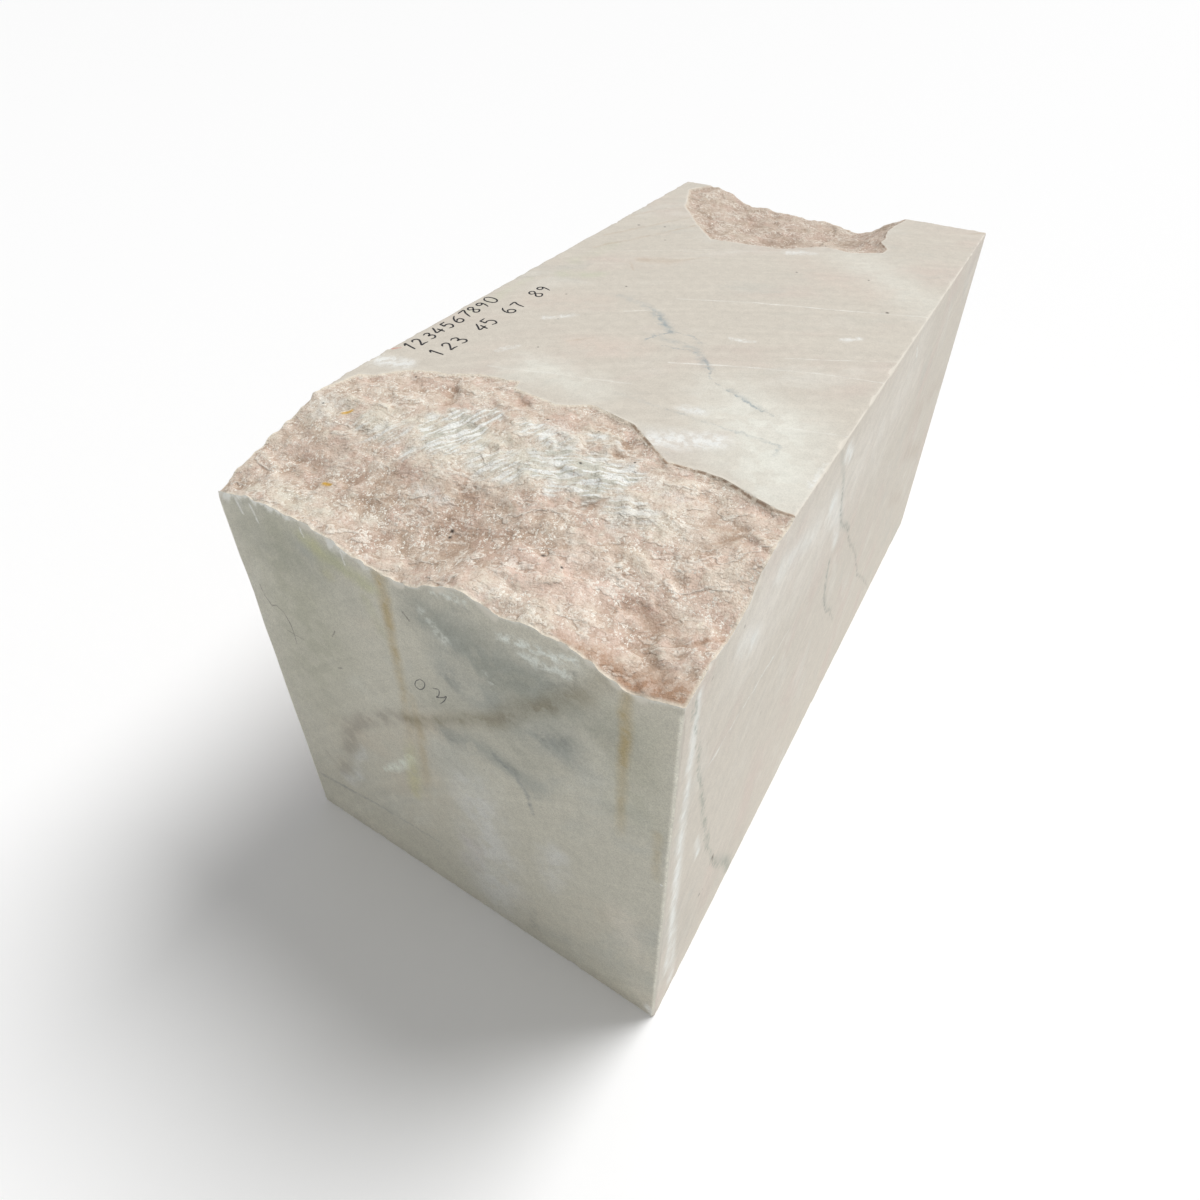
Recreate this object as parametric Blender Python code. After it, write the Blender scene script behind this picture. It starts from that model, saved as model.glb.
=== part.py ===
"""A sawn block of pale marble with a long break along its front top edge and a bowl-shaped break at the back.

The stone is one piece, so it is one object, marble_block. It starts as a sawn box. Each break is cut away by
a closed cutter whose lower face is the broken surface: a smooth sheet through hand-placed depths, with lumps
and ledges added by seeded noise. Lengths are in metres in the finished object. The break tables are in whole
millimetres, measured from the block's front left top corner: x to the right, y to the back, depth downward.
"""

import bmesh
import bpy
import numpy as np

# Driving dimensions of the sawn box.
BLOCK_WIDTH = 0.4064
BLOCK_LENGTH = 0.8128
BLOCK_HEIGHT = 0.4572

MM = 0.001
WIDTH_MM = round(BLOCK_WIDTH / MM, 1)
LENGTH_MM = round(BLOCK_LENGTH / MM, 1)

# Front break. The edge runs over the top from the left side to the right side: (x, y, depth of the lip).
FRONT_EDGE = ((0, 110, 1), (12, 150, 1), (52, 184, 1), (100, 203, 2), (137, 215, 1), (141, 203, 1),
              (187, 197, 1), (215, 213, 2), (256, 205, 4), (303, 172, 2), (345, 175, 4), (390, 162, 4),
              (406, 163, 3))
# Depth where the break comes out of the front face: (x, y, depth).
FRONT_RIM = ((0, 0, 35), (35, 0, 27), (60, 0, 25), (119, 0, 30), (155, 0, 38), (180, 0, 41), (205, 0, 35),
             (240, 0, 20), (265, 0, 25), (320, 0, 23), (345, 0, 31), (366, 0, 39), (406, 0, 31))
# Depth where it comes out of the left and right faces.
FRONT_SIDES = ((0, 35, 26), (0, 60, 19), (0, 85, 10), (406, 30, 23), (406, 70, 27), (406, 100, 17),
               (406, 114, 5), (406, 135, 3))
# Depths inside the break: a steep front-facing step left of the middle, a hump to its right, two hollows.
FRONT_INSIDE = ((55, 40, 25), (70, 80, 13), (100, 45, 22), (110, 110, 8), (150, 85, 12), (170, 35, 32),
                (200, 52, 27), (225, 80, 15), (215, 130, 7), (270, 45, 17), (300, 95, 11), (350, 52, 28),
                (340, 115, 10), (378, 95, 16), (375, 140, 8), (180, 165, 4))

# Back break. The edge goes round the bowl from the back face, forward and across, to the back face again.
BACK_EDGE = ((36, 813, 3), (26, 796, 3), (22, 774, 3), (45, 713, 3), (89, 657, 3), (130, 615, 3),
             (165, 620, 3), (212, 627, 3), (255, 660, 3), (283, 659, 2), (320, 675, 1), (322, 690, 1),
             (306, 712, 2), (303, 750, 3), (308, 813, 2))
BACK_RIM = ((60, 813, 5), (74, 813, 9), (84, 813, 15), (130, 813, 19), (175, 813, 23), (220, 813, 25),
            (240, 813, 29), (262, 813, 27), (285, 813, 13))
BACK_INSIDE = ((60, 755, 8), (100, 705, 12), (150, 660, 11), (200, 680, 17), (180, 745, 21), (245, 715, 20),
               (280, 765, 15), (290, 695, 8))

# The broken surface's finer relief, in millimetres: (size across, height, seed).
LUMPS = ((46, 2.2, 11), (23, 1.3, 12), (12, 0.7, 13))
# Ledges: their height, and how much of the surface is drawn onto them.
LEDGE_STEP = 3.5
LEDGE_SHARPNESS = 0.45
# Lumps and ledges fade toward the edge over LUMP_FADE, and toward the rim to RIM_SHARE of their height.
LUMP_FADE = 24.0
RIM_FADE = 16.0
RIM_SHARE = 0.35
# The lip drops to the full depth over LIP_WIDTH, from LIP_START of the way at the edge itself.
LEAST_DEPTH = 0.5
LIP_WIDTH = 2.0
LIP_START = 0.15
# The edge's small wander, and how much of it acts along y, the other way round.
EDGE_WANDER = ((26, 2.4, 21), (11, 1.1, 22))
WANDER_ALONG_Y = 0.8

# Seeded heights of the noise: a square table of this many, whose middle part the block uses.
NOISE_COUNT = 256
NOISE_START = 64.0

# The cutters' grids, in millimetres: how far they reach past the block, how steeply they rise outside the
# break, how high they stand, and how near the outline, in cells, a grid point is moved onto it.
GRID_CELL = 5.6
OVERHANG = 12.0
OUTLINE_OVERHANG = 24.0
OUTER_RISE = 0.9
CUTTER_TOP = 30.0
SNAP_SHARE = 0.42
# The outline's slope is measured over this half step, and never taken as less than LEAST_SLOPE.
SLOPE_STEP = 0.25
LEAST_SLOPE = 0.3
# Keeps the spline's logarithm finite at a sounding, where the distance is nil.
NIL_SQUARED = 1e-9

STONE_COLOUR = (0.66, 0.61, 0.53, 1.0)
STONE_ROUGHNESS = 0.6


def clear_scene():
    """Remove every object, so that the file holds only this model."""
    for item in list(bpy.data.objects):
        bpy.data.objects.remove(item, do_unlink=True)


def smooth(t):
    """Ease from 0 to 1 as t goes from 0 to 1: three t squared less two t cubed."""
    t = np.clip(t, 0.0, 1.0)
    return t * t * (3.0 - 2.0 * t)


def lumps(x, y, size, seed):
    """Smooth noise from -1 to 1 whose bumps are about size across: eased steps between seeded heights."""
    heights = np.random.default_rng(seed).uniform(-1.0, 1.0, (NOISE_COUNT, NOISE_COUNT))
    u = x / size + NOISE_START
    v = y / size + NOISE_START
    i = np.floor(u).astype(int)
    j = np.floor(v).astype(int)
    s = smooth(u - i)
    t = smooth(v - j)
    near = heights[i, j] * (1.0 - s) + heights[i + 1, j] * s
    far = heights[i, j + 1] * (1.0 - s) + heights[i + 1, j + 1] * s
    return near * (1.0 - t) + far * t


def layers(x, y, table):
    """Add up the layers of noise in a table of (size, height, seed)."""
    return sum(height * lumps(x, y, size, seed) for size, height, seed in table)


def sheet(x, y, soundings):
    """Depth of the smooth sheet that passes through every sounding (a thin-plate spline)."""
    known = np.array(soundings, float)
    points = known[:, :2]
    count = len(points)

    def bend(a, b):
        """The spline's bending term, r squared times the logarithm of r, between each a and each b."""
        squared = ((a[:, None, :] - b[None, :, :]) ** 2).sum(axis=2)
        return 0.5 * squared * np.log(squared + NIL_SQUARED)

    system = np.zeros((count + 3, count + 3))
    system[:count, :count] = bend(points, points)
    system[:count, count] = 1.0
    system[:count, count + 1:] = points
    system[count:, :count] = system[:count, count:].T
    weights = np.linalg.solve(system, np.append(known[:, 2], np.zeros(3)))
    asked = np.stack([x.ravel(), y.ravel()], axis=1)
    depth = bend(asked, points) @ weights[:count] + weights[count] + asked @ weights[count + 1:]
    return depth.reshape(x.shape)


def inside(x, y, loop):
    """Distance inside a closed outline, negative outside it, with the outline's small wander."""
    wander = layers(x, y, EDGE_WANDER)
    px = x + wander
    py = y - WANDER_ALONG_Y * wander
    start = np.array(loop, float)
    end = np.roll(start, -1, axis=0)
    run = end - start
    dx = px[..., None] - start[:, 0]
    dy = py[..., None] - start[:, 1]
    along = np.clip((dx * run[:, 0] + dy * run[:, 1]) / (run ** 2).sum(axis=1), 0.0, 1.0)
    gap = np.hypot(dx - along * run[:, 0], dy - along * run[:, 1]).min(axis=-1)
    spans = (start[:, 1] > py[..., None]) != (end[:, 1] > py[..., None])
    rise = np.where(run[:, 1] == 0.0, 1.0, run[:, 1])
    crossing = start[:, 0] + dy * run[:, 0] / rise
    hits = (spans & (px[..., None] < crossing)).sum(axis=-1)
    return np.where(hits % 2 == 1, gap, -gap)


def broken_depth(x, y, gap, soundings, rim_distance):
    """Depth of the broken surface: the sheet, its lumps and ledges, and the lip along its edge."""
    at_rim = RIM_SHARE + (1.0 - RIM_SHARE) * smooth(rim_distance / RIM_FADE)
    freedom = smooth(gap / LUMP_FADE) * at_rim
    depth = sheet(x, y, soundings) + freedom * layers(x, y, LUMPS)
    tread = depth / LEDGE_STEP
    stepped = LEDGE_STEP * (np.floor(tread) + smooth(tread - np.floor(tread)))
    depth = depth + LEDGE_SHARPNESS * freedom * (stepped - depth)
    return np.maximum(depth, LEAST_DEPTH) * smooth(LIP_START + gap / LIP_WIDTH)


def snapped(x, y, loop, cell):
    """Move the grid points nearest the outline onto it, so that its lip is a clean line."""
    step = SLOPE_STEP
    gap = inside(x, y, loop)
    slope_x = (inside(x + step, y, loop) - inside(x - step, y, loop)) / (2.0 * step)
    slope_y = (inside(x, y + step, loop) - inside(x, y - step, loop)) / (2.0 * step)
    length = np.maximum(np.hypot(slope_x, slope_y), LEAST_SLOPE)
    near = np.abs(gap) < SNAP_SHARE * cell
    move = np.where(near, gap / length ** 2, 0.0)
    return x - move * slope_x, y - move * slope_y, near


def make_cutter(name, loop, soundings, low, high, rim_y):
    """Closed cutter over the rectangle from low to high, with the broken surface as its lower face."""
    columns = round((high[0] - low[0]) / GRID_CELL) + 1
    rows = round((high[1] - low[1]) / GRID_CELL) + 1
    grid = bmesh.new()
    bmesh.ops.create_grid(grid, x_segments=columns - 1, y_segments=rows - 1, size=1.0)
    grid.verts.ensure_lookup_table()
    flat = np.array([vert.co[:2] for vert in grid.verts])
    x = low[0] + (flat[:, 0] + 1.0) / 2.0 * (high[0] - low[0])
    y = low[1] + (flat[:, 1] + 1.0) / 2.0 * (high[1] - low[1])
    x, y, on_edge = snapped(x, y, loop, GRID_CELL)
    gap = np.where(on_edge, 0.0, inside(x, y, loop))
    depth = broken_depth(x, y, gap, soundings, np.abs(y - rim_y))
    height = np.where(gap > 0.0, -depth, -gap * OUTER_RISE)
    for vert, vx, vy, vz in zip(grid.verts, x, y, height):
        vert.co = to_block(vx, vy, vz)
    lid = bmesh.ops.extrude_face_region(grid, geom=grid.faces[:])
    for item in lid["geom"]:
        if isinstance(item, bmesh.types.BMVert):
            item.co.z = BLOCK_HEIGHT + CUTTER_TOP * MM
    bmesh.ops.recalc_face_normals(grid, faces=grid.faces[:])
    if grid.calc_volume(signed=True) < 0.0:
        bmesh.ops.reverse_faces(grid, faces=grid.faces[:])
    return add_object(name, grid)


def to_block(x, y, z):
    """Turn a place in millimetres from the front left top corner into metres in the block's frame."""
    return (x * MM - BLOCK_WIDTH / 2.0, y * MM - BLOCK_LENGTH / 2.0, z * MM + BLOCK_HEIGHT)


def add_object(name, shape):
    """Turn a bmesh into an object in the scene."""
    mesh = bpy.data.meshes.new(name)
    shape.to_mesh(mesh)
    shape.free()
    item = bpy.data.objects.new(name, mesh)
    bpy.context.scene.collection.objects.link(item)
    return item


def make_sawn_box():
    """The block as sawn, standing on z = 0 with its base centred on the origin."""
    shape = bmesh.new()
    bmesh.ops.create_cube(shape, size=1.0)
    bmesh.ops.scale(shape, vec=(BLOCK_WIDTH, BLOCK_LENGTH, BLOCK_HEIGHT), verts=shape.verts[:])
    bmesh.ops.translate(shape, vec=(0.0, 0.0, BLOCK_HEIGHT / 2.0), verts=shape.verts[:])
    return add_object("marble_block", shape)


def cut_away(block, cutter):
    """Take the cutter's shape out of the block, and hide the cutter."""
    cut = block.modifiers.new(cutter.name, "BOOLEAN")
    cut.operation = "DIFFERENCE"
    cut.solver = "EXACT"
    cut.object = cutter
    cutter.hide_render = True
    cutter.display_type = "WIRE"


def stone_material():
    """Plain pale stone."""
    material = bpy.data.materials.new("pale_marble")
    material.use_nodes = True
    shader = material.node_tree.nodes["Principled BSDF"]
    shader.inputs["Base Color"].default_value = STONE_COLOUR
    shader.inputs["Roughness"].default_value = STONE_ROUGHNESS
    shader.inputs["Metallic"].default_value = 0.0
    return material


def front_cutter():
    """Cutter of the break along the whole front top edge."""
    edge = [point[:2] for point in FRONT_EDGE]
    left = -OUTLINE_OVERHANG
    right = WIDTH_MM + OUTLINE_OVERHANG
    ends = [(right, edge[-1][1]), (right, left), (left, left), (left, edge[0][1])]
    soundings = FRONT_EDGE + FRONT_RIM + FRONT_SIDES + FRONT_INSIDE
    reach = max(point[1] for point in edge) + OVERHANG
    low = (-OVERHANG, -OVERHANG)
    high = (WIDTH_MM + OVERHANG, reach)
    return make_cutter("front_break", edge + ends, soundings, low, high, 0.0)


def back_cutter():
    """Cutter of the bowl at the back."""
    edge = [point[:2] for point in BACK_EDGE]
    behind = LENGTH_MM + OUTLINE_OVERHANG
    ends = [(edge[-1][0], behind), (edge[0][0], behind)]
    soundings = BACK_EDGE + BACK_RIM + BACK_INSIDE
    low = (0.0, min(point[1] for point in edge) - OVERHANG)
    high = (max(point[0] for point in edge) + OVERHANG, LENGTH_MM + OVERHANG)
    return make_cutter("back_break", edge + ends, soundings, low, high, LENGTH_MM)


def build():
    """Build the block."""
    clear_scene()
    block = make_sawn_box()
    block.data.materials.append(stone_material())
    cut_away(block, front_cutter())
    cut_away(block, back_cutter())


build()
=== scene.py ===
"""Looks of the marble block: its sawn faces, its two breaks, its veins and stains, and what is marked on it.

The shape tables are in whole millimetres from the block's front left top corner: x to the right, y to the
back, depth downward. Places on the walls are x or y, and the height above the floor.
"""

import itertools
import logging
import math
from collections.abc import Callable
from dataclasses import dataclass
from enum import Enum, IntEnum

import bpy
import numpy as np
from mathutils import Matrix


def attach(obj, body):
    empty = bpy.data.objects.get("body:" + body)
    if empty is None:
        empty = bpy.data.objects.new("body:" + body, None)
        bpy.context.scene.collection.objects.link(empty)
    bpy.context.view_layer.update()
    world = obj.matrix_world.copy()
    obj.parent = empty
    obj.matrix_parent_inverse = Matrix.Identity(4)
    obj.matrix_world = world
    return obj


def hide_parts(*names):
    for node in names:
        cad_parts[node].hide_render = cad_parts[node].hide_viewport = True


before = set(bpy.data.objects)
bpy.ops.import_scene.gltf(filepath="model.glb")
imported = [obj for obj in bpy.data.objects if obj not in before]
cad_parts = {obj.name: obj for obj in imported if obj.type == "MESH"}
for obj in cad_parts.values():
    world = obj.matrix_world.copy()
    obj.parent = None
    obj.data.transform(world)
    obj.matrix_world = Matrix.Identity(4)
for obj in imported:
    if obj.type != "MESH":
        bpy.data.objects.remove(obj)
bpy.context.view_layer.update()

LOG = logging.getLogger("marble_block")
Array = np.ndarray
Colour = tuple[float, float, float, float]
Item = bpy.types.Object
Material = bpy.types.Material
Tree = bpy.types.NodeTree
Socket = bpy.types.NodeSocket
Sockets = dict[str, Socket]

# Metres in a millimetre, and the size of the block.
MM = 0.001
WIDTH_MM = 406.4
LENGTH_MM = 812.8
HEIGHT_MM = 457.2

# The two breaks, as in the solid: (x, y, depth) along the edge, along the rims and inside.
FRONT_EDGE = ((0, 110, 1), (12, 150, 1), (52, 184, 1), (100, 203, 2), (137, 215, 1), (141, 203, 1),
              (187, 197, 1), (215, 213, 2), (256, 205, 4), (303, 172, 2), (345, 175, 4), (390, 162, 4),
              (406, 163, 3))
FRONT_RIM = ((0, 0, 35), (35, 0, 27), (60, 0, 25), (119, 0, 30), (155, 0, 38), (180, 0, 41), (205, 0, 35),
             (240, 0, 20), (265, 0, 25), (320, 0, 23), (345, 0, 31), (366, 0, 39), (406, 0, 31))
FRONT_SIDES = ((0, 35, 26), (0, 60, 19), (0, 85, 10), (406, 30, 23), (406, 70, 27), (406, 100, 17),
               (406, 114, 5), (406, 135, 3))
FRONT_INSIDE = ((55, 40, 25), (70, 80, 13), (100, 45, 22), (110, 110, 8), (150, 85, 12), (170, 35, 32),
                (200, 52, 27), (225, 80, 15), (215, 130, 7), (270, 45, 17), (300, 95, 11), (350, 52, 28),
                (340, 115, 10), (378, 95, 16), (375, 140, 8), (180, 165, 4))
BACK_EDGE = ((36, 813, 3), (26, 796, 3), (22, 774, 3), (45, 713, 3), (89, 657, 3), (130, 615, 3),
             (165, 620, 3), (212, 627, 3), (255, 660, 3), (283, 659, 2), (320, 675, 1), (322, 690, 1),
             (306, 712, 2), (303, 750, 3), (308, 813, 2))
BACK_RIM = ((60, 813, 5), (74, 813, 9), (84, 813, 15), (130, 813, 19), (175, 813, 23), (220, 813, 25),
            (240, 813, 29), (262, 813, 27), (285, 813, 13))
BACK_INSIDE = ((60, 755, 8), (100, 705, 12), (150, 660, 11), (200, 680, 17), (180, 745, 21), (245, 715, 20),
               (280, 765, 15), (290, 695, 8))
OUTSIDE_MM = 24.0

# Relief of the broken surface that the solid has too: (size across, height, seed).
LUMPS = ((46, 2.2, 11), (23, 1.3, 12), (12, 0.7, 13))
LEDGE_STEP = 3.5
LEDGE_SHARPNESS = 0.45
EDGE_WANDER = ((26, 2.4, 21), (11, 1.1, 22))
LEAST_DEPTH = 0.5
LUMP_FADE = 24.0
RIM_FADE = 16.0
RIM_SHARE = 0.35
NIL_SQUARED = 1e-9
FAR_OUTSIDE = -1e3

# Finer relief that only the visible mesh has.
CRUMBS = ((6.5, 0.36, 14), (3.6, 0.28, 15), (2.3, 0.18, 16))
FACETS = ((26, 0.12, 31), (12, 0.17, 32), (5.5, 0.13, 33))
LIP_SLOPE = 7.0
LIP_START = 0.22
FINE_FADE = 5.0

# Splinters: ragged borders (size, share, seed), bends (drawn out by, size, amount), and the rest.
RAGGED = ((15.0, 0.35, 5), (6.0, 0.2, 6))
BENDS = ((2.6, 17.0, 0.9), (3.5, 6.0, 0.35))
SPLINTER_DROP = 0.22
SPLINTER_MIDDLE = 0.4
LEAST_WHITE = 0.45
STEEP_ANGLE = 40.0

# Small steps scattered over a break: turn in degrees, length, height and reach, and how they wander.
STRAY_TURN = (18.0, 22.0)
STRAY_LENGTH = (10.0, 34.0)
STRAY_HEIGHT = (0.4, 1.3)
STRAY_REACH = (3.0, 8.0)
STRAY_RISING = 0.7
STRAY_WANDER = ((14.0, 2.6, 1), (5.0, 0.9, 2))

# Wear of the sawn arrises: steady and deepest, and its nicks (size, least noise, span, share).
STEADY_WEAR = 0.9
DEEPEST_WEAR = 3.4
NICKS = ((19.0, 0.45, 0.5, 0.65), (6.0, 0.5, 0.4, 0.35))
SHARP_ANGLE = math.radians(38.0)

# Places in the materials, in millimetres. Clouds: shift, size, detail, roughness, values eased to 0 and 1.
NOWHERE = (0.0, 0.0, 0.0)
MIDDLE = (0.5, 0.5, 0.5)
SAW_CENTRE = (830.0, -600.0, 0.0)
SPOT_LENGTH = 0.01
BEDDING_TURNS = (0.35, -0.5, math.radians(30.0))
BEDDING_SHARES = (2.6, 0.8, 1.2)
CLOUDS = (("Pale", None, 60.0, 4.0, 0.6, 0.52, 0.74),
          ("Warm", (310.0, 90.0, 40.0), 85.0, 4.0, 0.55, 0.5, 0.72),
          ("Grey", (-170.0, 260.0, -80.0), 70.0, 5.0, 0.6, 0.54, 0.76))


def smooth(t: Array) -> Array:
    """Ease from 0 to 1 as t goes from 0 to 1."""
    t = np.clip(t, 0.0, 1.0)
    return t * t * (3.0 - 2.0 * t)


def lumps(x: Array, y: Array, size: float, seed: int) -> Array:
    """Smooth noise from -1 to 1: seeded heights on a lattice of that size, eased from one to the next.

    Args:
        x, y: Places in millimetres.
        size: Distance between the lattice's points in millimetres.
        seed: Chooses the heights.

    Returns:
        The noise at each place.
    """
    span = 256
    heights = np.random.default_rng(seed).uniform(-1.0, 1.0, (span, span))
    u = x / size + 64.0
    v = y / size + 64.0
    i = np.floor(u).astype(int)
    j = np.floor(v).astype(int)
    s = smooth(u - i)
    t = smooth(v - j)
    i0, i1, j0, j1 = i % span, (i + 1) % span, j % span, (j + 1) % span
    near = heights[i0, j0] * (1.0 - s) + heights[i1, j0] * s
    far = heights[i0, j1] * (1.0 - s) + heights[i1, j1] * s
    return near * (1.0 - t) + far * t


def layers(x: Array, y: Array, table: tuple, seed: int = 0) -> Array:
    """Add up the layers of noise in a table of (size, height, seed), with another seed added to theirs."""
    return sum(height * lumps(x, y, size, seed + own) for size, height, own in table)


def facets(x: Array, y: Array, size: float, slope: float, seed: int) -> Array:
    """Height of flat chips, each tilted its own way: every place belongs to the nearest seeded centre.

    Args:
        x, y: Places in millimetres.
        size: Usual distance between centres in millimetres.
        slope: Steepest tilt of a chip, rise over run.
        seed: Chooses the centres and tilts.

    Returns:
        The height at each place in millimetres.
    """
    span = 128
    draws = np.random.default_rng(seed).uniform(0.0, 1.0, (4, span, span))
    i = np.floor(x / size).astype(int)
    j = np.floor(y / size).astype(int)
    best = np.full(x.shape, np.inf)
    height = np.zeros(x.shape)
    for di, dj in ((a, b) for a in (-1, 0, 1) for b in (-1, 0, 1)):
        ci, cj = (i + di) % span, (j + dj) % span
        dx = x - (i + di + draws[0, ci, cj]) * size
        dy = y - (j + dj + draws[1, ci, cj]) * size
        away = dx * dx + dy * dy
        tilt = 2.0 * slope * ((draws[2, ci, cj] - 0.5) * dx + (draws[3, ci, cj] - 0.5) * dy)
        nearer = away < best
        best = np.where(nearer, away, best)
        height = np.where(nearer, tilt, height)
    return height


@dataclass(frozen=True)
class Hackle:
    """A patch of splintery ridges that all run one way."""

    x: float
    y: float
    reach_x: float
    reach_y: float
    angle: float
    spacing: float
    height: float
    whiteness: float
    seed: int

    def zone(self, x: Array, y: Array) -> Array:
        """How far a place belongs to the patch: 1 at its middle, smoothly down to 0 at its ragged border."""
        away = np.hypot((x - self.x) / self.reach_x, (y - self.y) / self.reach_y)
        return smooth(1.2 * (1.0 - away + layers(x, y, RAGGED, self.seed)))

    def ridges(self, x: Array, y: Array) -> Array:
        """Overlapping splinters from 0 to 1: each rises slowly across the patch's direction, then drops.

        The place across the direction is counted in splinters and bent by slow noise, and the part of a
        splinter that is left over is its rise. Noise along the direction breaks the splinters into lengths.

        Args:
            x, y: Places in millimetres.

        Returns:
            The height at each place.
        """
        turn = math.radians(self.angle)
        along = x * math.cos(turn) + y * math.sin(turn)
        across = y * math.cos(turn) - x * math.sin(turn)
        bent = across / self.spacing
        for step, (drawn_out, size, amount) in enumerate(BENDS):
            bent = bent + amount * lumps(along / drawn_out, across, size, self.seed + step)
        part = bent - np.floor(bent)
        rise = part * smooth((1.0 - part) / SPLINTER_DROP)
        length = 0.62 + 0.38 * lumps(along / 5.0, np.floor(bent) * 9.0, 5.0, self.seed + 2)
        return np.clip(rise * length * 1.25, 0.0, 1.0)


@dataclass(frozen=True)
class Ledge:
    """A small step in a broken surface, along the line from one place to another.

    The ground on the line's left is raised by half the height and that on its right is lowered by as much,
    dying away with distance and towards the line's two ends.
    """

    start: tuple
    end: tuple
    height: float
    reach: float
    fading: float = 0.25
    softness: float = 1.8

    def lift(self, x: Array, y: Array, stray: Array) -> Array:
        """Height that the step adds, its side a hyperbolic tangent of the distance from its line.

        Args:
            x, y: Places in millimetres.
            stray: How far the line strays sideways at each place.

        Returns:
            The height at each place in millimetres.
        """
        run = np.subtract(self.end, self.start)
        length = math.hypot(*run)
        ux, uy = run / length
        along = ((x - self.start[0]) * ux + (y - self.start[1]) * uy) / length
        across = (y - self.start[1]) * ux - (x - self.start[0]) * uy + stray
        ends = smooth(along / self.fading) * smooth((1.0 - along) / self.fading)
        side = np.tanh(across / self.softness)
        return 0.5 * self.height * ends * side * np.exp(-np.abs(across) / self.reach)


@dataclass(frozen=True)
class Break:
    """One break: its edge on the sawn top, its depths, and the end of the block that it opens to."""

    edge: tuple
    soundings: tuple
    ends: tuple
    rim_y: float
    hackles: tuple = ()
    ledges: tuple = ()
    stray_steps: int = 0
    stray_seed: int = 0

    @property
    def loop(self) -> Array:
        """Closed outline of the break, with the corners that lie outside the block."""
        return np.array([point[:2] for point in self.edge] + list(self.ends), float)

    def sheet(self, x: Array, y: Array) -> Array:
        """Depth of the smooth sheet through every sounding: a thin-plate spline.

        The depth is a flat part plus, for each sounding, its weight times half of r squared times the
        logarithm of r squared, where r is the distance to it. The weights make the sheet pass through
        every sounding.

        Args:
            x, y: Places in millimetres.

        Returns:
            The depth at each place in millimetres.
        """
        known = np.array(self.soundings, float)
        points = known[:, :2]
        count = len(points)

        def bend(a: Array, b: Array) -> Array:
            """Half of r squared times the logarithm of r squared, between two lists of places."""
            squared = ((a[:, None, :] - b[None, :, :]) ** 2).sum(axis=2)
            return 0.5 * squared * np.log(squared + NIL_SQUARED)

        system = np.zeros((count + 3, count + 3))
        system[:count, :count] = bend(points, points)
        system[:count, count] = 1.0
        system[:count, count + 1:] = points
        system[count:, :count] = system[:count, count:].T
        weights = np.linalg.solve(system, np.append(known[:, 2], np.zeros(3)))
        asked = np.stack([x.ravel(), y.ravel()], axis=1)
        depth = bend(asked, points) @ weights[:count] + weights[count] + asked @ weights[count + 1:]
        return depth.reshape(x.shape)

    def inside(self, x: Array, y: Array) -> Array:
        """Distance inside the outline, negative outside it, with the outline's small wander.

        The distance is the least one to the outline's straight runs. A place is inside when a line from it
        to the right crosses the outline an odd number of times.

        Args:
            x, y: Places in millimetres.

        Returns:
            The distance at each place in millimetres.
        """
        wander = layers(x, y, EDGE_WANDER)
        px = x + wander
        py = y - 0.8 * wander
        start = self.loop
        end = np.roll(start, -1, axis=0)
        run = end - start
        dx = px[..., None] - start[:, 0]
        dy = py[..., None] - start[:, 1]
        along = np.clip((dx * run[:, 0] + dy * run[:, 1]) / (run ** 2).sum(axis=1), 0.0, 1.0)
        gap = np.hypot(dx - along * run[:, 0], dy - along * run[:, 1]).min(axis=-1)
        spans = (start[:, 1] > py[..., None]) != (end[:, 1] > py[..., None])
        rise = np.where(run[:, 1] == 0.0, 1.0, run[:, 1])
        crossing = start[:, 0] + dy * run[:, 0] / rise
        hits = (spans & (px[..., None] < crossing)).sum(axis=-1)
        return np.where(hits % 2 == 1, gap, -gap)

    def fibres(self, x: Array, y: Array) -> tuple[Array, Array, Array]:
        """The splintery patches taken together.

        Args:
            x, y: Places in millimetres.

        Returns:
            The height to add in millimetres, and how far each place belongs to a steep and to a level patch.
        """
        height, steep, level = np.zeros((3, *x.shape))
        for patch in self.hackles:
            zone = patch.zone(x, y)
            ridges = patch.ridges(x, y)
            height += patch.height * zone * (ridges - SPLINTER_MIDDLE)
            white = patch.whiteness * zone * (LEAST_WHITE + (1.0 - LEAST_WHITE) * ridges)
            if patch.angle > STEEP_ANGLE:
                steep = np.maximum(steep, white)
            else:
                level = np.maximum(level, white)
        return height, steep, level

    def steps(self, x: Array, y: Array) -> Array:
        """Height of the ledges: the placed ones, and a scatter of small ones that run mostly one way.

        Args:
            x, y: Places in millimetres.

        Returns:
            The height at each place in millimetres.
        """
        rng = np.random.default_rng(self.stray_seed)
        low = self.loop.min(axis=0).clip(0.0)
        high = self.loop.max(axis=0).clip(0.0, (WIDTH_MM, LENGTH_MM))
        strays = []
        for _ in range(self.stray_steps):
            start = rng.uniform(low, high)
            turn = math.radians(rng.normal(*STRAY_TURN))
            length = rng.uniform(*STRAY_LENGTH)
            end = start + length * np.array([math.cos(turn), math.sin(turn)])
            height = rng.uniform(*STRAY_HEIGHT) * (1.0 if rng.uniform() < STRAY_RISING else -1.0)
            strays.append(Ledge(tuple(start), tuple(end), height, rng.uniform(*STRAY_REACH)))
        stray = layers(x, y, STRAY_WANDER, self.stray_seed)
        return sum((ledge.lift(x, y, stray) for ledge in (*self.ledges, *strays)), np.zeros(x.shape))

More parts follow.
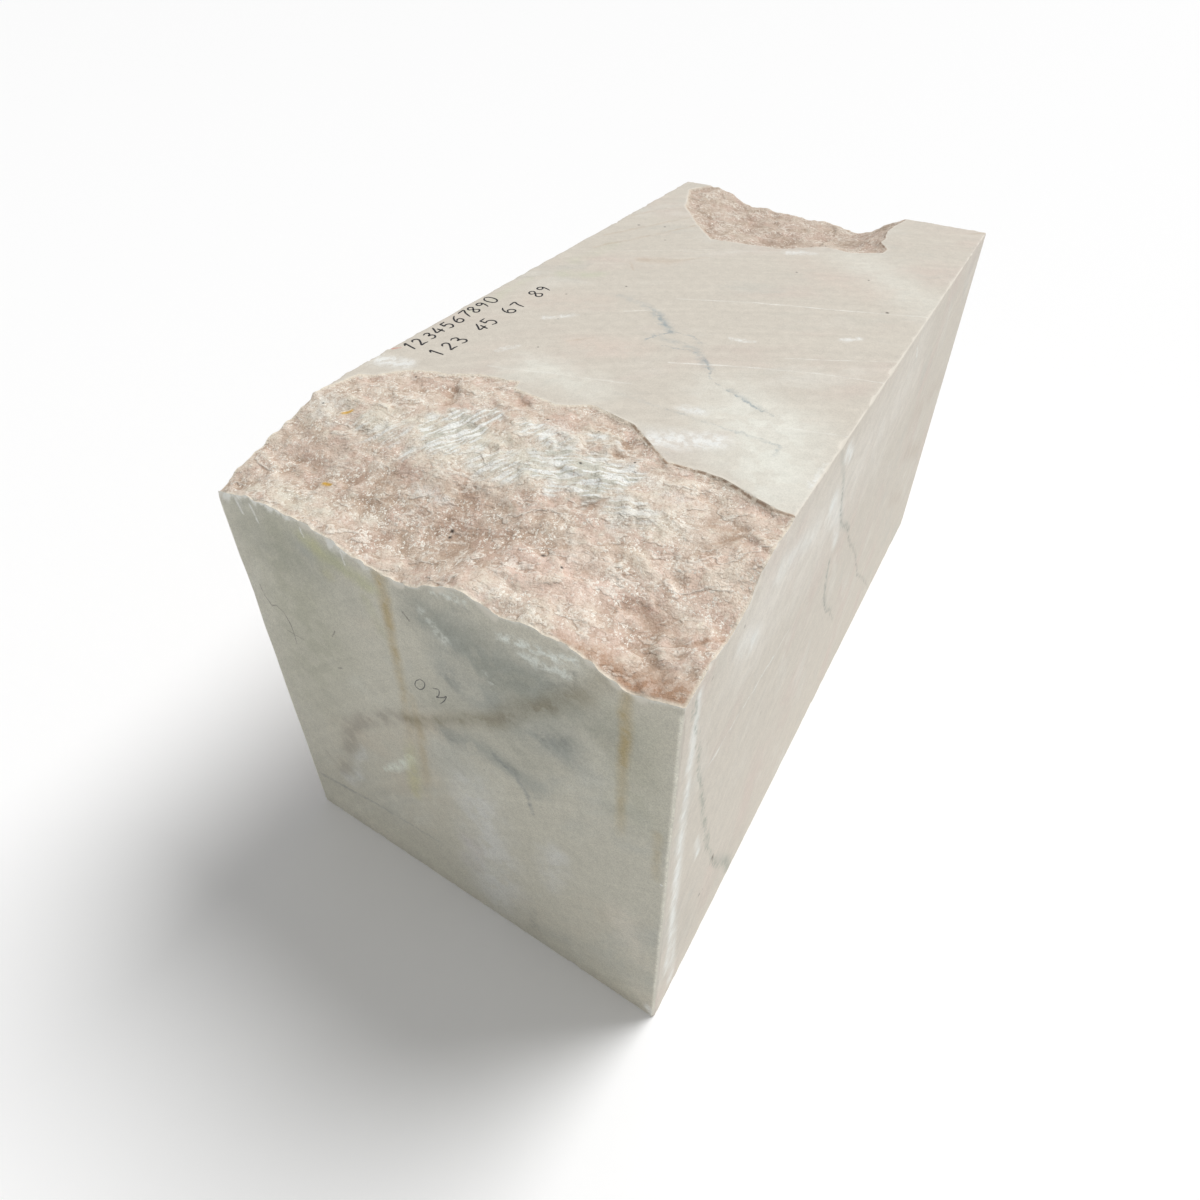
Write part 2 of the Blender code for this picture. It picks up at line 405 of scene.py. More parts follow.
    def surface(self, x: Array, y: Array, gap: Array) -> dict[str, Array]:
        """The broken surface: the solid's sheet, lumps, ledges and lip, and crumbs, chips and splinters.

        Args:
            x, y: Places in millimetres.
            gap: Distance inside the outline at each place.

        Returns:
            depth, relief (height above the smooth sheet), steep and level, at each place.
        """
        rim_distance = np.abs(y - self.rim_y)
        freedom = smooth(gap / LUMP_FADE) * (RIM_SHARE + (1.0 - RIM_SHARE) * smooth(rim_distance / RIM_FADE))
        sheet = self.sheet(x, y)
        depth = sheet + freedom * layers(x, y, LUMPS)
        tread = depth / LEDGE_STEP
        stepped = LEDGE_STEP * (np.floor(tread) + smooth(tread - np.floor(tread)))
        depth = depth + LEDGE_SHARPNESS * freedom * (stepped - depth)
        height, steep, level = self.fibres(x, y)
        fine = height + self.steps(x, y) + layers(x, y, CRUMBS) + sum(facets(x, y, *row) for row in FACETS)
        depth = depth - smooth(gap / FINE_FADE) * fine
        depth = np.maximum(depth, LEAST_DEPTH) * smooth(LIP_START + gap / LIP_SLOPE)
        return {"depth": depth, "relief": sheet - depth, "steep": steep, "level": level}


FRONT_BREAK = Break(
    edge=FRONT_EDGE,
    soundings=FRONT_EDGE + FRONT_RIM + FRONT_SIDES + FRONT_INSIDE,
    ends=((WIDTH_MM + OUTSIDE_MM, 163), (WIDTH_MM + OUTSIDE_MM, -OUTSIDE_MM),
          (-OUTSIDE_MM, -OUTSIDE_MM), (-OUTSIDE_MM, 110)),
    rim_y=0.0,
    hackles=(Hackle(138, 126, 44, 54, 66, 6.0, 2.8, 1.0, 41), Hackle(252, 142, 60, 42, 20, 6.5, 2.6, 1.0, 44),
             Hackle(200, 160, 46, 26, 42, 6.0, 2.0, 0.85, 47),
             Hackle(190, 112, 38, 26, 50, 6.0, 1.8, 0.75, 48),
             Hackle(78, 104, 38, 22, 60, 5.0, 1.6, 0.65, 50),
             Hackle(312, 116, 34, 22, 22, 5.5, 1.8, 0.65, 52),
             Hackle(352, 84, 46, 22, 22, 7.5, 1.2, 0.15, 53), Hackle(90, 176, 40, 12, 17, 4.5, 1.0, 0.0, 56)),
    ledges=(Ledge((341, 75), (371, 88), 2.4, 7), Ledge((368, 88), (396, 85), 2.0, 6),
            Ledge((323, 153), (347, 164), 1.8, 5), Ledge((332, 92), (354, 100), 1.6, 5),
            Ledge((312, 94), (331, 98), 1.6, 5), Ledge((372, 42), (390, 46), 1.8, 5),
            Ledge((396, 36), (406, 57), -1.8, 5), Ledge((292, 106), (310, 142), -1.8, 6),
            Ledge((62, 171), (99, 182), 1.8, 5), Ledge((20, 86), (40, 92), 2.0, 6),
            Ledge((245, 146), (280, 156), 1.8, 5), Ledge((158, 46), (164, 68), -2.4, 6),
            Ledge((66, 170), (62, 186), 1.8, 4), Ledge((180, 92), (228, 84), 3.0, 9),
            Ledge((30, 50), (74, 62), 3.0, 8), Ledge((88, 34), (140, 52), 3.2, 9),
            Ledge((225, 62), (280, 78), 3.2, 8), Ledge((286, 60), (330, 66), 2.8, 7)),
    stray_steps=90,
    stray_seed=201,
)
BACK_BREAK = Break(
    edge=BACK_EDGE,
    soundings=BACK_EDGE + BACK_RIM + BACK_INSIDE,
    ends=((308, LENGTH_MM + OUTSIDE_MM), (36, LENGTH_MM + OUTSIDE_MM)),
    rim_y=LENGTH_MM,
    stray_steps=60,
    stray_seed=231,
)


class Side(IntEnum):
    """Regions of the stone's skin, in the order of the block's material slots."""

    TOP = 0
    FRONT_BREAK = 1
    BACK_BREAK = 2
    FRONT = 3
    RIGHT = 4
    BACK = 5
    LEFT = 6
    BASE = 7


def wear_along(s: Array, seed: int) -> Array:
    """How much of a sawn arris is gone along it: a thin steady wear, with nicks here and there.

    Args:
        s: Distance along the arris in millimetres.
        seed: Chooses where the nicks are.

    Returns:
        The wear at each place in millimetres.
    """
    zero = np.zeros(s.shape)
    steady = STEADY_WEAR * (1.0 + 0.6 * lumps(s, zero, 7.0, seed) + 0.4 * lumps(s, zero, 2.5, seed + 1))
    nicks = sum(share * smooth((lumps(s, zero, size, seed + 2 + order) - least) / span)
                for order, (size, least, span, share) in enumerate(NICKS))
    return steady + DEEPEST_WEAR * nicks


@dataclass
class StoneSkin:
    """The whole visible surface of the block as one closed mesh."""

    fine_cell: float = 1.85
    middle_cell: float = 6.4
    back_cell: float = 2.4
    front_reach: float = 224.0
    back_start: float = 604.0
    snap_share: float = 0.47
    slope_step: float = 0.25
    least_slope: float = 0.3
    unfold_rounds: int = 5
    least_share: float = 0.12
    nil_gap: float = 0.08
    touching: float = 0.01
    rows_below_rim: tuple = (0.0, 0.8, 1.8, 3.2, 5.2, 8.0, 12.0, 18.0, 26.0)
    rows_above_floor: tuple = (26.0, 16.0, 9.0, 5.0, 2.8, 1.4, 0.6, 0.0)
    rows_between: int = 8
    base_inset: float = 9.0
    flake_reach: float = 13.0
    flake_depth: float = 1.2
    bruise_end: float = 175.0
    bruise_fade: float = 40.0
    tongue_lengths: tuple = (1.5, 2.0, 12.0)
    plain_bruise: float = 0.45

    def grid_lines(self) -> tuple[Array, Array]:
        """Places of the columns and rows of the top's grid, close together over the breaks.

        Returns:
            The x of each column and the y of each row, in millimetres.
        """
        columns, front, middle, back = (
            np.linspace(start, end, round((end - start) / cell) + 1)
            for start, end, cell in ((0.0, WIDTH_MM, self.fine_cell), (0.0, self.front_reach, self.fine_cell),
                                     (self.front_reach, self.back_start, self.middle_cell),
                                     (self.back_start, LENGTH_MM, self.back_cell)))
        return columns, np.concatenate([front, middle[1:], back[1:]])

    def onto_edge(self, x: Array, y: Array, plan: Break, cell: float) -> tuple[Array, Array]:
        """Slide the grid points nearest a break's outline onto it, so that its lip is a clean line.

        A point moves along the slope of the distance, by the distance over the slope's length squared. On the
        block's own sides it moves along the side only. Where a cell would fold, its corners move less.

        Args:
            x, y: Grid points in millimetres.
            plan: The break.
            cell: Size of the cells near the outline.

        Returns:
            The points' new x and y.
        """
        step = self.slope_step
        gap = plan.inside(x, y)
        slope_x = (plan.inside(x + step, y) - plan.inside(x - step, y)) / (2.0 * step)
        slope_y = (plan.inside(x, y + step) - plan.inside(x, y - step)) / (2.0 * step)
        slope_x = np.where((x <= 0.0) | (x >= WIDTH_MM), 0.0, slope_x)
        slope_y = np.where((y <= 0.0) | (y >= LENGTH_MM), 0.0, slope_y)
        length = np.maximum(np.hypot(slope_x, slope_y), self.least_slope)
        move = np.where(np.abs(gap) < self.snap_share * cell, gap / length ** 2, 0.0)
        keep = np.ones(x.shape)
        for _ in range(self.unfold_rounds):
            new_x, new_y = x - keep * move * slope_x, y - keep * move * slope_y
            folded = self.least_corner(new_x, new_y) < self.least_share * cell ** 2
            for rows in (slice(None, -1), slice(1, None)):
                for columns in (slice(None, -1), slice(1, None)):
                    keep[rows, columns] *= np.where(folded, 0.5, 1.0)
        return x - keep * move * slope_x, y - keep * move * slope_y

    @staticmethod
    def least_corner(x: Array, y: Array) -> Array:
        """Least area that the two sides at a corner of each grid cell span, negative where it is folded.

        Args:
            x, y: Grid points in millimetres.

        Returns:
            The area for each cell.
        """
        corners = [(x[:-1, :-1], y[:-1, :-1]), (x[:-1, 1:], y[:-1, 1:]), (x[1:, 1:], y[1:, 1:]),
                   (x[1:, :-1], y[1:, :-1])]
        areas = []
        for turn in range(4):
            (x0, y0), (x1, y1), (x2, y2) = (corners[(turn + step) % 4] for step in (0, 1, 2))
            areas.append((x1 - x0) * (y2 - y1) - (x2 - x1) * (y1 - y0))
        return np.min(areas, axis=0)

    def top(self) -> dict[str, Array]:
        """The top as a height over a grid: sawn flat, sunk by the depth of a break inside its outline.

        Returns:
            x, y, depth, gap (distance inside a break), relief, steep, level and rim at each grid point.
        """
        columns, rows = self.grid_lines()
        x, y = np.meshgrid(columns, rows)
        for plan, cell in ((FRONT_BREAK, self.fine_cell), (BACK_BREAK, self.back_cell)):
            x, y = self.onto_edge(x, y, plan, cell)
        found = {"x": x, "y": y}
        found |= {name: np.zeros(x.shape) for name in ("depth", "relief", "steep", "level")}
        found["gap"] = np.full(x.shape, FAR_OUTSIDE)
        for plan in (FRONT_BREAK, BACK_BREAK):
            gap = plan.inside(x, y)
            gap = np.where(np.abs(gap) < self.nil_gap, 0.0, gap)
            made = plan.surface(x, y, gap)
            for name, values in made.items():
                found[name] = np.where(gap > 0.0, values, found[name])
            found["gap"] = np.maximum(found["gap"], gap)
        inner = found["gap"] > self.fine_cell
        found["depth"] = np.where(inner, self.softened(found["depth"]), found["depth"])
        found["rim"] = np.minimum(np.minimum(x, WIDTH_MM - x), np.minimum(y, LENGTH_MM - y))
        return found

    @staticmethod
    def softened(depth: Array) -> Array:
        """Average each grid point with its neighbours, weighted 1, 2, 1 along each axis, to calm steps."""
        padded = np.pad(depth, 1, mode="edge")
        across = 0.25 * padded[:, :-2] + 0.5 * padded[:, 1:-1] + 0.25 * padded[:, 2:]
        return 0.25 * across[:-2] + 0.5 * across[1:-1] + 0.25 * across[2:]

    @staticmethod
    def top_faces(gap: Array) -> tuple[Array, Array]:
        """Triangles of the top's grid. Each cell is split along the corner pair that lies nearer an outline.

        Args:
            gap: Distance inside a break at each grid point.

        Returns:
            The triangles' corners as grid indices, and how far inside a break each triangle's middle is.
        """
        rows, columns = gap.shape
        index = np.arange(rows * columns).reshape(rows, columns)
        a, b = index[:-1, :-1].ravel(), index[:-1, 1:].ravel()
        c, d = index[1:, 1:].ravel(), index[1:, :-1].ravel()
        away = np.abs(gap).ravel()
        first = (away[a] + away[c] <= away[b] + away[d])[:, None]
        one = np.where(first, np.stack([a, b, c], axis=1), np.stack([a, b, d], axis=1))
        two = np.where(first, np.stack([a, c, d], axis=1), np.stack([b, c, d], axis=1))
        faces = np.concatenate([one, two])
        return faces, gap.ravel()[faces].mean(axis=1)

    def walls(self, ring: Array) -> Array:
        """Points of the four walls: each point of the top's border carried straight down to the floor.

        Args:
            ring: Points of the border in order, (count, 3), height above the floor last.

        Returns:
            The points, one row of the ring's length for each level, from the rim to the floor.
        """
        rim = ring[:, 2]
        upper = [rim - drop for drop in self.rows_below_rim]
        lower = [np.full(rim.shape, lift) for lift in self.rows_above_floor]
        share = np.linspace(0.0, 1.0, self.rows_between + 2)[1:-1]
        between = [upper[-1] + (lower[0] - upper[-1]) * part for part in share]
        levels = np.array(upper + between + lower)
        points = np.repeat(ring[None, :, :], len(levels), axis=0)
        points[:, :, 2] = levels
        return points

    @staticmethod
    def worn(points: Array) -> tuple[Array, Array]:
        """Take the wear off the twelve sawn arrises.

        Across an arris, the distances in from its two faces are added. Where the sum is less than the wear
        there, the point moves inward from both faces by half of what is missing.

        Args:
            points: Points in millimetres, height above the floor last.

        Returns:
            The moved points, and how far each was moved.
        """
        size = np.array([WIDTH_MM, LENGTH_MM, HEIGHT_MM])
        moved = points.copy()
        worn = np.zeros(len(points))
        arrises = itertools.product(((0, 1, 2), (1, 0, 2), (2, 0, 1)), (False, True), (False, True))
        for order, ((along, first, second), high_first, high_second) in enumerate(arrises):
            seed = 67 + 7 * order
            one = size[first] - moved[:, first] if high_first else moved[:, first]
            two = size[second] - moved[:, second] if high_second else moved[:, second]
            rough = 0.25 * lumps(moved[:, 0] + moved[:, 2], moved[:, 1] - moved[:, 2], 2.2, seed)
            short = np.maximum(wear_along(moved[:, along], seed) + rough - one - two, 0.0)
            moved[:, first] += np.where(high_first, -0.5, 0.5) * short
            moved[:, second] += np.where(high_second, -0.5, 0.5) * short
            worn = np.maximum(worn, short)
        return moved, worn

    def flaked(self, points: Array, below: Array, broken: Array) -> tuple[Array, Array]:
        """Spall thin flakes off the walls just below the broken rims.

        Args:
            points: Points in millimetres.
            below: How far each point lies below the top's border.
            broken: Whether the border above each point is broken.

        Returns:
            The moved points, and how deep each flake is.
        """
        front = points[:, 1] < self.touching
        back = points[:, 1] > LENGTH_MM - self.touching
        left = points[:, 0] < self.touching
        right = points[:, 0] > WIDTH_MM - self.touching
        s = points[:, 0] + points[:, 1]
        bite = smooth((lumps(s, below * 0.7, 9.0, 91) - 0.15) / 0.6) + 0.25
        depth = self.flake_depth * broken * bite * smooth(1.0 - below / self.flake_reach) ** 2
        moved = points.copy()
        moved[:, 1] += depth * (front * 1.0 - back * 1.0)
        moved[:, 0] += depth * (left * 1.0 - right * 1.0) * ~(front | back)
        return moved, depth

    def bruised(self, points: Array, below: Array, broken: Array) -> Array:
        """How white the walls are bruised under the broken rims: ragged tongues, longest at the front left.

        Args:
            points: Points in millimetres.
            below: How far each point lies below the top's border.
            broken: Whether the border above each point is broken.

        Returns:
            The whiteness at each point.
        """
        s = points[:, 0] + points[:, 1]
        tongue = 0.5 + 0.5 * lumps(s, below * 0.25, 3.6, 95) + 0.5 * lumps(s, below * 0.2, 14.0, 96)
        front_left = (points[:, 1] < 3.0) * smooth((self.bruise_end - points[:, 0]) / self.bruise_fade)
        least, usual, longest = self.tongue_lengths
        length = least + tongue.clip(0.0) * (usual + longest * front_left)
        whiteness = self.plain_bruise + (1.0 - self.plain_bruise) * front_left
        return broken * smooth(1.3 * (1.0 - below / length)) * whiteness

    def faces(self, top: dict[str, Array], border: Array, levels: int) -> tuple[list, Array]:
        """Faces of the top, the walls and the base, and the region of each.

        Args:
            top: What top() returns.
            border: Indices of the top's border in order, from its front left corner round by the right.
            levels: How many levels the walls have, with the border itself.

        Returns:
            The corner indices of each face, outward faces turning anticlockwise, and its material slot.
        """
        rows, columns = top["x"].shape
        count, around = rows * columns, len(border)
        ring = np.vstack([border, count + np.arange((levels - 1) * around).reshape(levels - 1, around)])
        after = np.roll(ring, -1, axis=1)
        quads = np.stack([ring[1:], after[1:], after[:-1], ring[:-1]], axis=2).reshape(-1, 4)
        corner = [columns - 1, columns + rows - 2, 2 * columns + rows - 3]
        place = np.tile(np.arange(around), levels - 1)
        wall_side = np.select([place < corner[0], place < corner[1], place < corner[2]],
                              [Side.FRONT, Side.RIGHT, Side.BACK], Side.LEFT)
        inner = count + (levels - 1) * around + np.arange(around)
        hem = np.stack([ring[-1], inner, np.roll(inner, -1), after[-1]], axis=1)
        triangles, depth_in = self.top_faces(top["gap"])
        far = top["y"].ravel()[triangles].mean(axis=1) > LENGTH_MM / 2.0
        top_side = np.where(depth_in <= 0.0, Side.TOP, np.where(far, Side.BACK_BREAK, Side.FRONT_BREAK))
        faces = triangles.tolist() + quads.tolist() + hem.tolist() + [inner[::-1].tolist()]
        return faces, np.concatenate([top_side, wall_side, np.full(around + 1, Side.BASE)])

    def build(self) -> Item:
        """Join the top, the walls and the base into one closed mesh, with its regions and attributes.

        Returns:
            The block's object.
        """
        top = self.top()
        flat = {name: value.ravel() for name, value in top.items()}
        count = flat["x"].size
        index = np.arange(count).reshape(top["x"].shape)
        border = np.concatenate([index[0, :], index[1:, -1], index[-1, -2::-1], index[-2:0:-1, 0]])
        upper = np.stack([flat["x"], flat["y"], HEIGHT_MM - flat["depth"]], axis=1)
        walls = self.walls(upper[border])
        hem = walls[-1].copy()
        middle = np.array([WIDTH_MM, LENGTH_MM]) / 2.0
        hem[:, :2] = middle + (hem[:, :2] - middle) * (1.0 - self.base_inset / middle)
        points = np.concatenate([upper, walls[1:].reshape(-1, 3), hem])

        drop = walls[0][None, :, 2] - walls[1:, :, 2]
        below = np.full(len(points), -1.0)
        below[border] = 0.0
        below[count:count + drop.size] = drop.ravel()
        broken = np.zeros(len(points))
        broken[border] = flat["gap"][border] > 0.5
        broken[count:count + drop.size] = np.tile(broken[border], len(drop))
        under, broken = np.maximum(below, 0.0), broken * (below >= 0.0)
        bruise = self.bruised(points, under, broken)
        points, flaked = self.flaked(points, under, broken)
        points, worn = self.worn(points)

        spare = np.zeros(len(points) - count)
        attributes = {name: np.append(flat[name], spare) for name in ("relief", "steep", "level", "rim")}
        attributes["lip"] = np.append(flat["gap"], spare + FAR_OUTSIDE).clip(-50.0, 50.0)
        attributes |= {"below": below, "worn": np.maximum(worn, flaked), "bruise": bruise}
        return stone_object("block", points, *self.faces(top, border, len(walls)), attributes)


def stone_object(name: str, points: Array, faces: list, sides: Array, attributes: dict[str, Array]) -> Item:
    """Make an object at the origin from arrays.

    Args:
        name: Name of the piece.
        points: Corners in millimetres from the block's front left bottom corner.
        faces: Corner indices of each face, outward faces turning anticlockwise.
        sides: Material slot of each face.
        attributes: A number for each corner under each name.

    Returns:
        The object.
    """
    mesh = bpy.data.meshes.new(name)
    shift = np.array([WIDTH_MM / 2.0, LENGTH_MM / 2.0, 0.0])
    mesh.from_pydata(((points - shift) * MM).tolist(), [], faces)
    mesh.polygons.foreach_set("material_index", np.asarray(sides, np.int32))
    for label, values in attributes.items():
        layer = mesh.attributes.new(label, "FLOAT", "POINT")
        layer.data.foreach_set("value", np.asarray(values, np.float32))
    mesh.update()
    mesh.set_sharp_from_angle(angle=SHARP_ANGLE)
    item = bpy.data.objects.new(name, mesh)
    bpy.context.scene.collection.objects.link(item)
    return item


class Plane(Enum):
    """Which two coordinates a face's marks are drawn in."""

    TOP = "Place top"
    FRONT = "Place front"
    SIDE = "Place side"


class Graph:
    """A node tree being written: adds nodes and joins them."""

    def __init__(self, tree: Tree) -> None:
        """Keep the tree to write in."""
        self.tree = tree

    def feed(self, socket: Socket, value: object) -> None:
        """Join a value's socket to an input, or set the input to a plain value."""
        if isinstance(value, Socket):
            self.tree.links.new(value, socket)
        else:
            socket.default_value = value

    def add(self, kind: str, values: dict | None = None, **settings: object) -> bpy.types.Node:
        """Add a node.

        Args:
            kind: Its type.
            values: A socket or a plain value for some of its inputs, by their name or place.
            settings: Its own settings by name.

        Returns:
            The node.
        """
        made = self.tree.nodes.new(kind)
        for name, value in settings.items():
            setattr(made, name, value)
        for place, value in (values or {}).items():
            self.feed(made.inputs[place], value)
        return made

    def math(self, operation: str, *values: object) -> Socket:
        """A Math node's result."""
        return self.add("ShaderNodeMath", dict(enumerate(values)), operation=operation).outputs[0]

    def times(self, one: object, two: object) -> Socket:
        """One value times another."""
        return self.math("MULTIPLY", one, two)

    def held(self, value: object) -> Socket:
        """A value kept from 0 to 1 by two nodes: a clamp costs a face with many strokes too much room."""
        return self.math("MAXIMUM", self.math("MINIMUM", value, 1.0), 0.0)

    def vector(self, operation: str, *values: object) -> Socket:
        """A Vector Math node's result: a number for a dot product or a distance, and else a vector."""
        places = (0, "Scale") if operation == "SCALE" else range(len(values))
        made = self.add("ShaderNodeVectorMath", dict(zip(places, values)), operation=operation)
        return made.outputs["Value" if operation in ("DOT_PRODUCT", "DISTANCE") else "Vector"]

    def split(self, value: object, kind: str = "Color") -> list[Socket]:
        """The three parts of a colour, or of a vector where the kind is XYZ."""
        return list(self.add("ShaderNodeSeparate" + kind, {0: value}).outputs)

    def join(self, *parts: object, kind: str = "XYZ") -> Socket:
        """A vector of up to three parts, or a colour where the kind is Color."""
        return self.add("ShaderNodeCombine" + kind, dict(enumerate(parts))).outputs[0]

    def blend(self, share: object, one: object, two: object, how: str = "MIX") -> Socket:
        """One colour, with a share of another over it."""
        values = {0: share, 6: one, 7: two}
        return self.add("ShaderNodeMix", values, data_type="RGBA", blend_type=how).outputs[2]

    def ease(self, value: object, low: float, high: float, start: float = 0.0, end: float = 1.0) -> Socket:
        """Turn a value from low to high into one from start to end, smoothly. It stays between those two."""
        values = dict(enumerate((value, low, high, start, end)))
        return self.add("ShaderNodeMapRange", values, interpolation_type="SMOOTHSTEP", clamp=False).outputs[0]

    def tint(self, colour: object, over: Colour, value: object, *span: float) -> Socket:
        """Lay a colour over another, by the share that a value is eased to over a span."""
        return self.blend(self.ease(value, *span), colour, over)

    def noise(self, place: object, size: object, detail: float = 3.0, rough: float = 0.5,
              colour: bool = False) -> Socket:
        """Fractal noise.

        Args:
            place: Where it is taken.
            size: About how far across its largest bumps are.
            detail: How many times finer bumps are added.
            rough: How strong each finer set is beside the one before it.
            colour: Whether three separate noises are wanted, as a colour.

        Returns:
            The noise, from 0 to 1.
        """
        scale = self.math("DIVIDE", 1.0, size) if isinstance(size, Socket) else 1.0 / size
        values = {"Vector": place, "Scale": scale, "Detail": detail, "Roughness": rough}
        return self.add("ShaderNodeTexNoise", values).outputs["Color" if colour else "Fac"]

    def number(self, name: str) -> Socket:
        """The number that the mesh holds under a name."""
        return self.add("ShaderNodeAttribute", attribute_name=name).outputs["Fac"]

    def stretch(self, place: object, turns: tuple, shares: tuple) -> Socket:
        """Turn a place by three angles and scale it, so that a pattern runs one way."""
        values = {"Vector": place, "Rotation": turns, "Scale": shares}
        return self.add("ShaderNodeMapping", values, vector_type="TEXTURE").outputs[0]

    def bump(self, height: Socket, strength: float, depth: float) -> Socket:
        """A normal tilted by a height, whose range is so many metres deep."""
        values = {"Strength": strength, "Distance": depth, "Height": height}
        return self.add("ShaderNodeBump", values).outputs[0]

    def use(self, group: Tree, **values: object) -> Sockets:
        """Place a node group, with its inputs by name, and give its outputs by name."""
        return dict(self.add("ShaderNodeGroup", values, node_tree=group).outputs.items())


def new_material(name: str, roughness: float, specular: float = 0.5) -> tuple[Material, Graph, Sockets]:
    """Begin a material.

    Args:
        name: Name of the material.
        roughness: The shader's roughness.
        specular: The shader's specular level.

    Returns:
        The material, its graph, and its shader's inputs by name.
    """
    made = bpy.data.materials.new(name)
    made.use_nodes = True
    inputs = dict(made.node_tree.nodes["Principled BSDF"].inputs.items())
    inputs["Roughness"].default_value = roughness
    inputs["Specular IOR Level"].default_value = specular
    return made, Graph(made.node_tree), inputs


class Effects:
    """Node groups that more than one finish uses, each built once. Lengths in them are in millimetres."""

    def __init__(self) -> None:
        """Build every group: its name, its inputs with their plain values, and the method that fills it."""
        self.corner_place = self._group("corner_place", {}, self._corner_place)
        self.wander = self._group("wander", {"Place": NOWHERE, "Amount": 4.0, "Size": 30.0}, self._wander)
        self.stroke = self._group(
            "stroke", {"Place": NOWHERE, "Start": NOWHERE, "End": (1.0, 0.0, 0.0), "Width one": 5.0,
                       "Width two": 5.0, "Strength one": 1.0, "Strength two": 1.0}, self._stroke)
        self.grain = self._group("grain", {"Place": NOWHERE, "Size": 1.0}, self._grain)
        self.saw = self._group("saw", {"Place": NOWHERE, "Centre": SAW_CENTRE}, self._saw)
        self.clouds = self._group("clouds", {"Place": NOWHERE}, self._clouds)
        self.curls = self._group("curls", {"Place": NOWHERE}, self._curls)

    @staticmethod
    def _group(name: str, inputs: dict[str, object], fill: Callable[[Graph, Sockets], Sockets]) -> Tree:
        """Build one group.

        Args:
            name: Name of the group.
            inputs: Each input's name and its plain value, a tuple for a vector.
            fill: Adds the nodes, given the graph and the input sockets by name, and returns the group's
                outputs by name. One whose name starts with Place is a vector.

        Returns:
            The group.
        """
        group = bpy.data.node_groups.new(name, "ShaderNodeTree")
        for label, value in inputs.items():
            kind = "NodeSocketVector" if isinstance(value, tuple) else "NodeSocketFloat"
            group.interface.new_socket(name=label, in_out="INPUT", socket_type=kind).default_value = value
        graph = Graph(group)
        made = fill(graph, dict(graph.add("NodeGroupInput").outputs.items()))
        for label in made:
            kind = "NodeSocketVector" if label.startswith("Place") else "NodeSocketFloat"
            group.interface.new_socket(name=label, in_out="OUTPUT", socket_type=kind)
        graph.add("NodeGroupOutput", made)
        return group

    @staticmethod
    def _corner_place(graph: Graph, _: Sockets) -> Sockets:
        """Object coordinates from the front left bottom corner, and flattened on each face."""
        place = graph.vector("MULTIPLY_ADD", graph.add("ShaderNodeTexCoord").outputs["Object"],
                             (1.0 / MM,) * 3, (WIDTH_MM / 2.0, LENGTH_MM / 2.0, 0.0))
        x, y, z = graph.split(place, "XYZ")
        return {"Place": place, Plane.TOP.value: graph.join(x, y), Plane.FRONT.value: graph.join(x, z),
                Plane.SIDE.value: graph.join(y, z)}

    @staticmethod
    def _wander(graph: Graph, given: Sockets) -> Sockets:
        """A place moved about by noise: up to Amount each way, in bumps Size across."""
        noise = graph.noise(given["Place"], given["Size"], 4.0, 0.55, colour=True)
        centred = graph.vector("SUBTRACT", noise, MIDDLE)
        moved = graph.vector("SCALE", centred, graph.times(given["Amount"], 2.0))
        return {"Place": graph.vector("ADD", given["Place"], moved)}

    @staticmethod
    def _stroke(graph: Graph, given: Sockets) -> Sockets:
        """A soft straight stroke: 1 on its line, falling smoothly to 0 at its half width.

        The nearest place on the line is found by how far along it the point lies, kept between its two ends.
        The half width and strength go evenly from one end to the other.
        """
        away = graph.vector("SUBTRACT", given["Place"], given["Start"])
        run = graph.vector("SUBTRACT", given["End"], given["Start"])
        squared = graph.vector("DOT_PRODUCT", run, run)
        along = graph.held(graph.math("DIVIDE", graph.vector("DOT_PRODUCT", away, run), squared))
        distance = graph.vector("DISTANCE", away, graph.vector("SCALE", run, along))

        def between(name: str) -> Socket:
            """An input's value at this place along the line."""
            change = graph.math("SUBTRACT", given[name + " two"], given[name + " one"])
            return graph.math("MULTIPLY_ADD", change, along, given[name + " one"])

        mask = graph.ease(graph.math("DIVIDE", distance, between("Width")), 1.0, 0.0)
        return {"Mask": graph.times(mask, between("Strength"))}

    @staticmethod
    def _grain(graph: Graph, given: Sockets) -> Sockets:
        """Sugary crystals: flat-topped cells Size across and finer ones, each with a height and a tone."""
        scale = graph.math("DIVIDE", 1.0, given["Size"])
        made = []
        for finer in (1.0, 2.3):
            values = {"Vector": given["Place"], "Scale": graph.times(scale, finer)}
            cells = graph.add("ShaderNodeTexVoronoi", values).outputs
            rise, tone, _ = graph.split(cells["Color"])
            made.append((graph.math("MULTIPLY_ADD", cells["Distance"], -0.6, rise), tone))
        (rise, tone), (fine_rise, fine_tone) = made
        return {"Height": graph.math("MULTIPLY_ADD", fine_rise, 0.45, rise),
                "Tone": graph.math("MULTIPLY_ADD", fine_tone, 0.4, graph.times(tone, 0.6))}

    @staticmethod
    def _saw(graph: Graph, given: Sockets) -> Sockets:
        """Marks of a big disc saw: noise over the distance from its centre, so that it runs in arcs."""
        radius = graph.vector("DISTANCE", given["Place"], given["Centre"])
        line = graph.join(radius, graph.times(graph.noise(given["Place"], 60.0, 2.0), 3.0))
        fine = graph.noise(line, 1.6, 2.0, 0.6)
        broad = graph.noise(line, 11.0, 3.0, 0.6)
        return {"Height": graph.math("MULTIPLY_ADD", broad, 0.6, graph.times(fine, 0.4)), "Tone": broad}

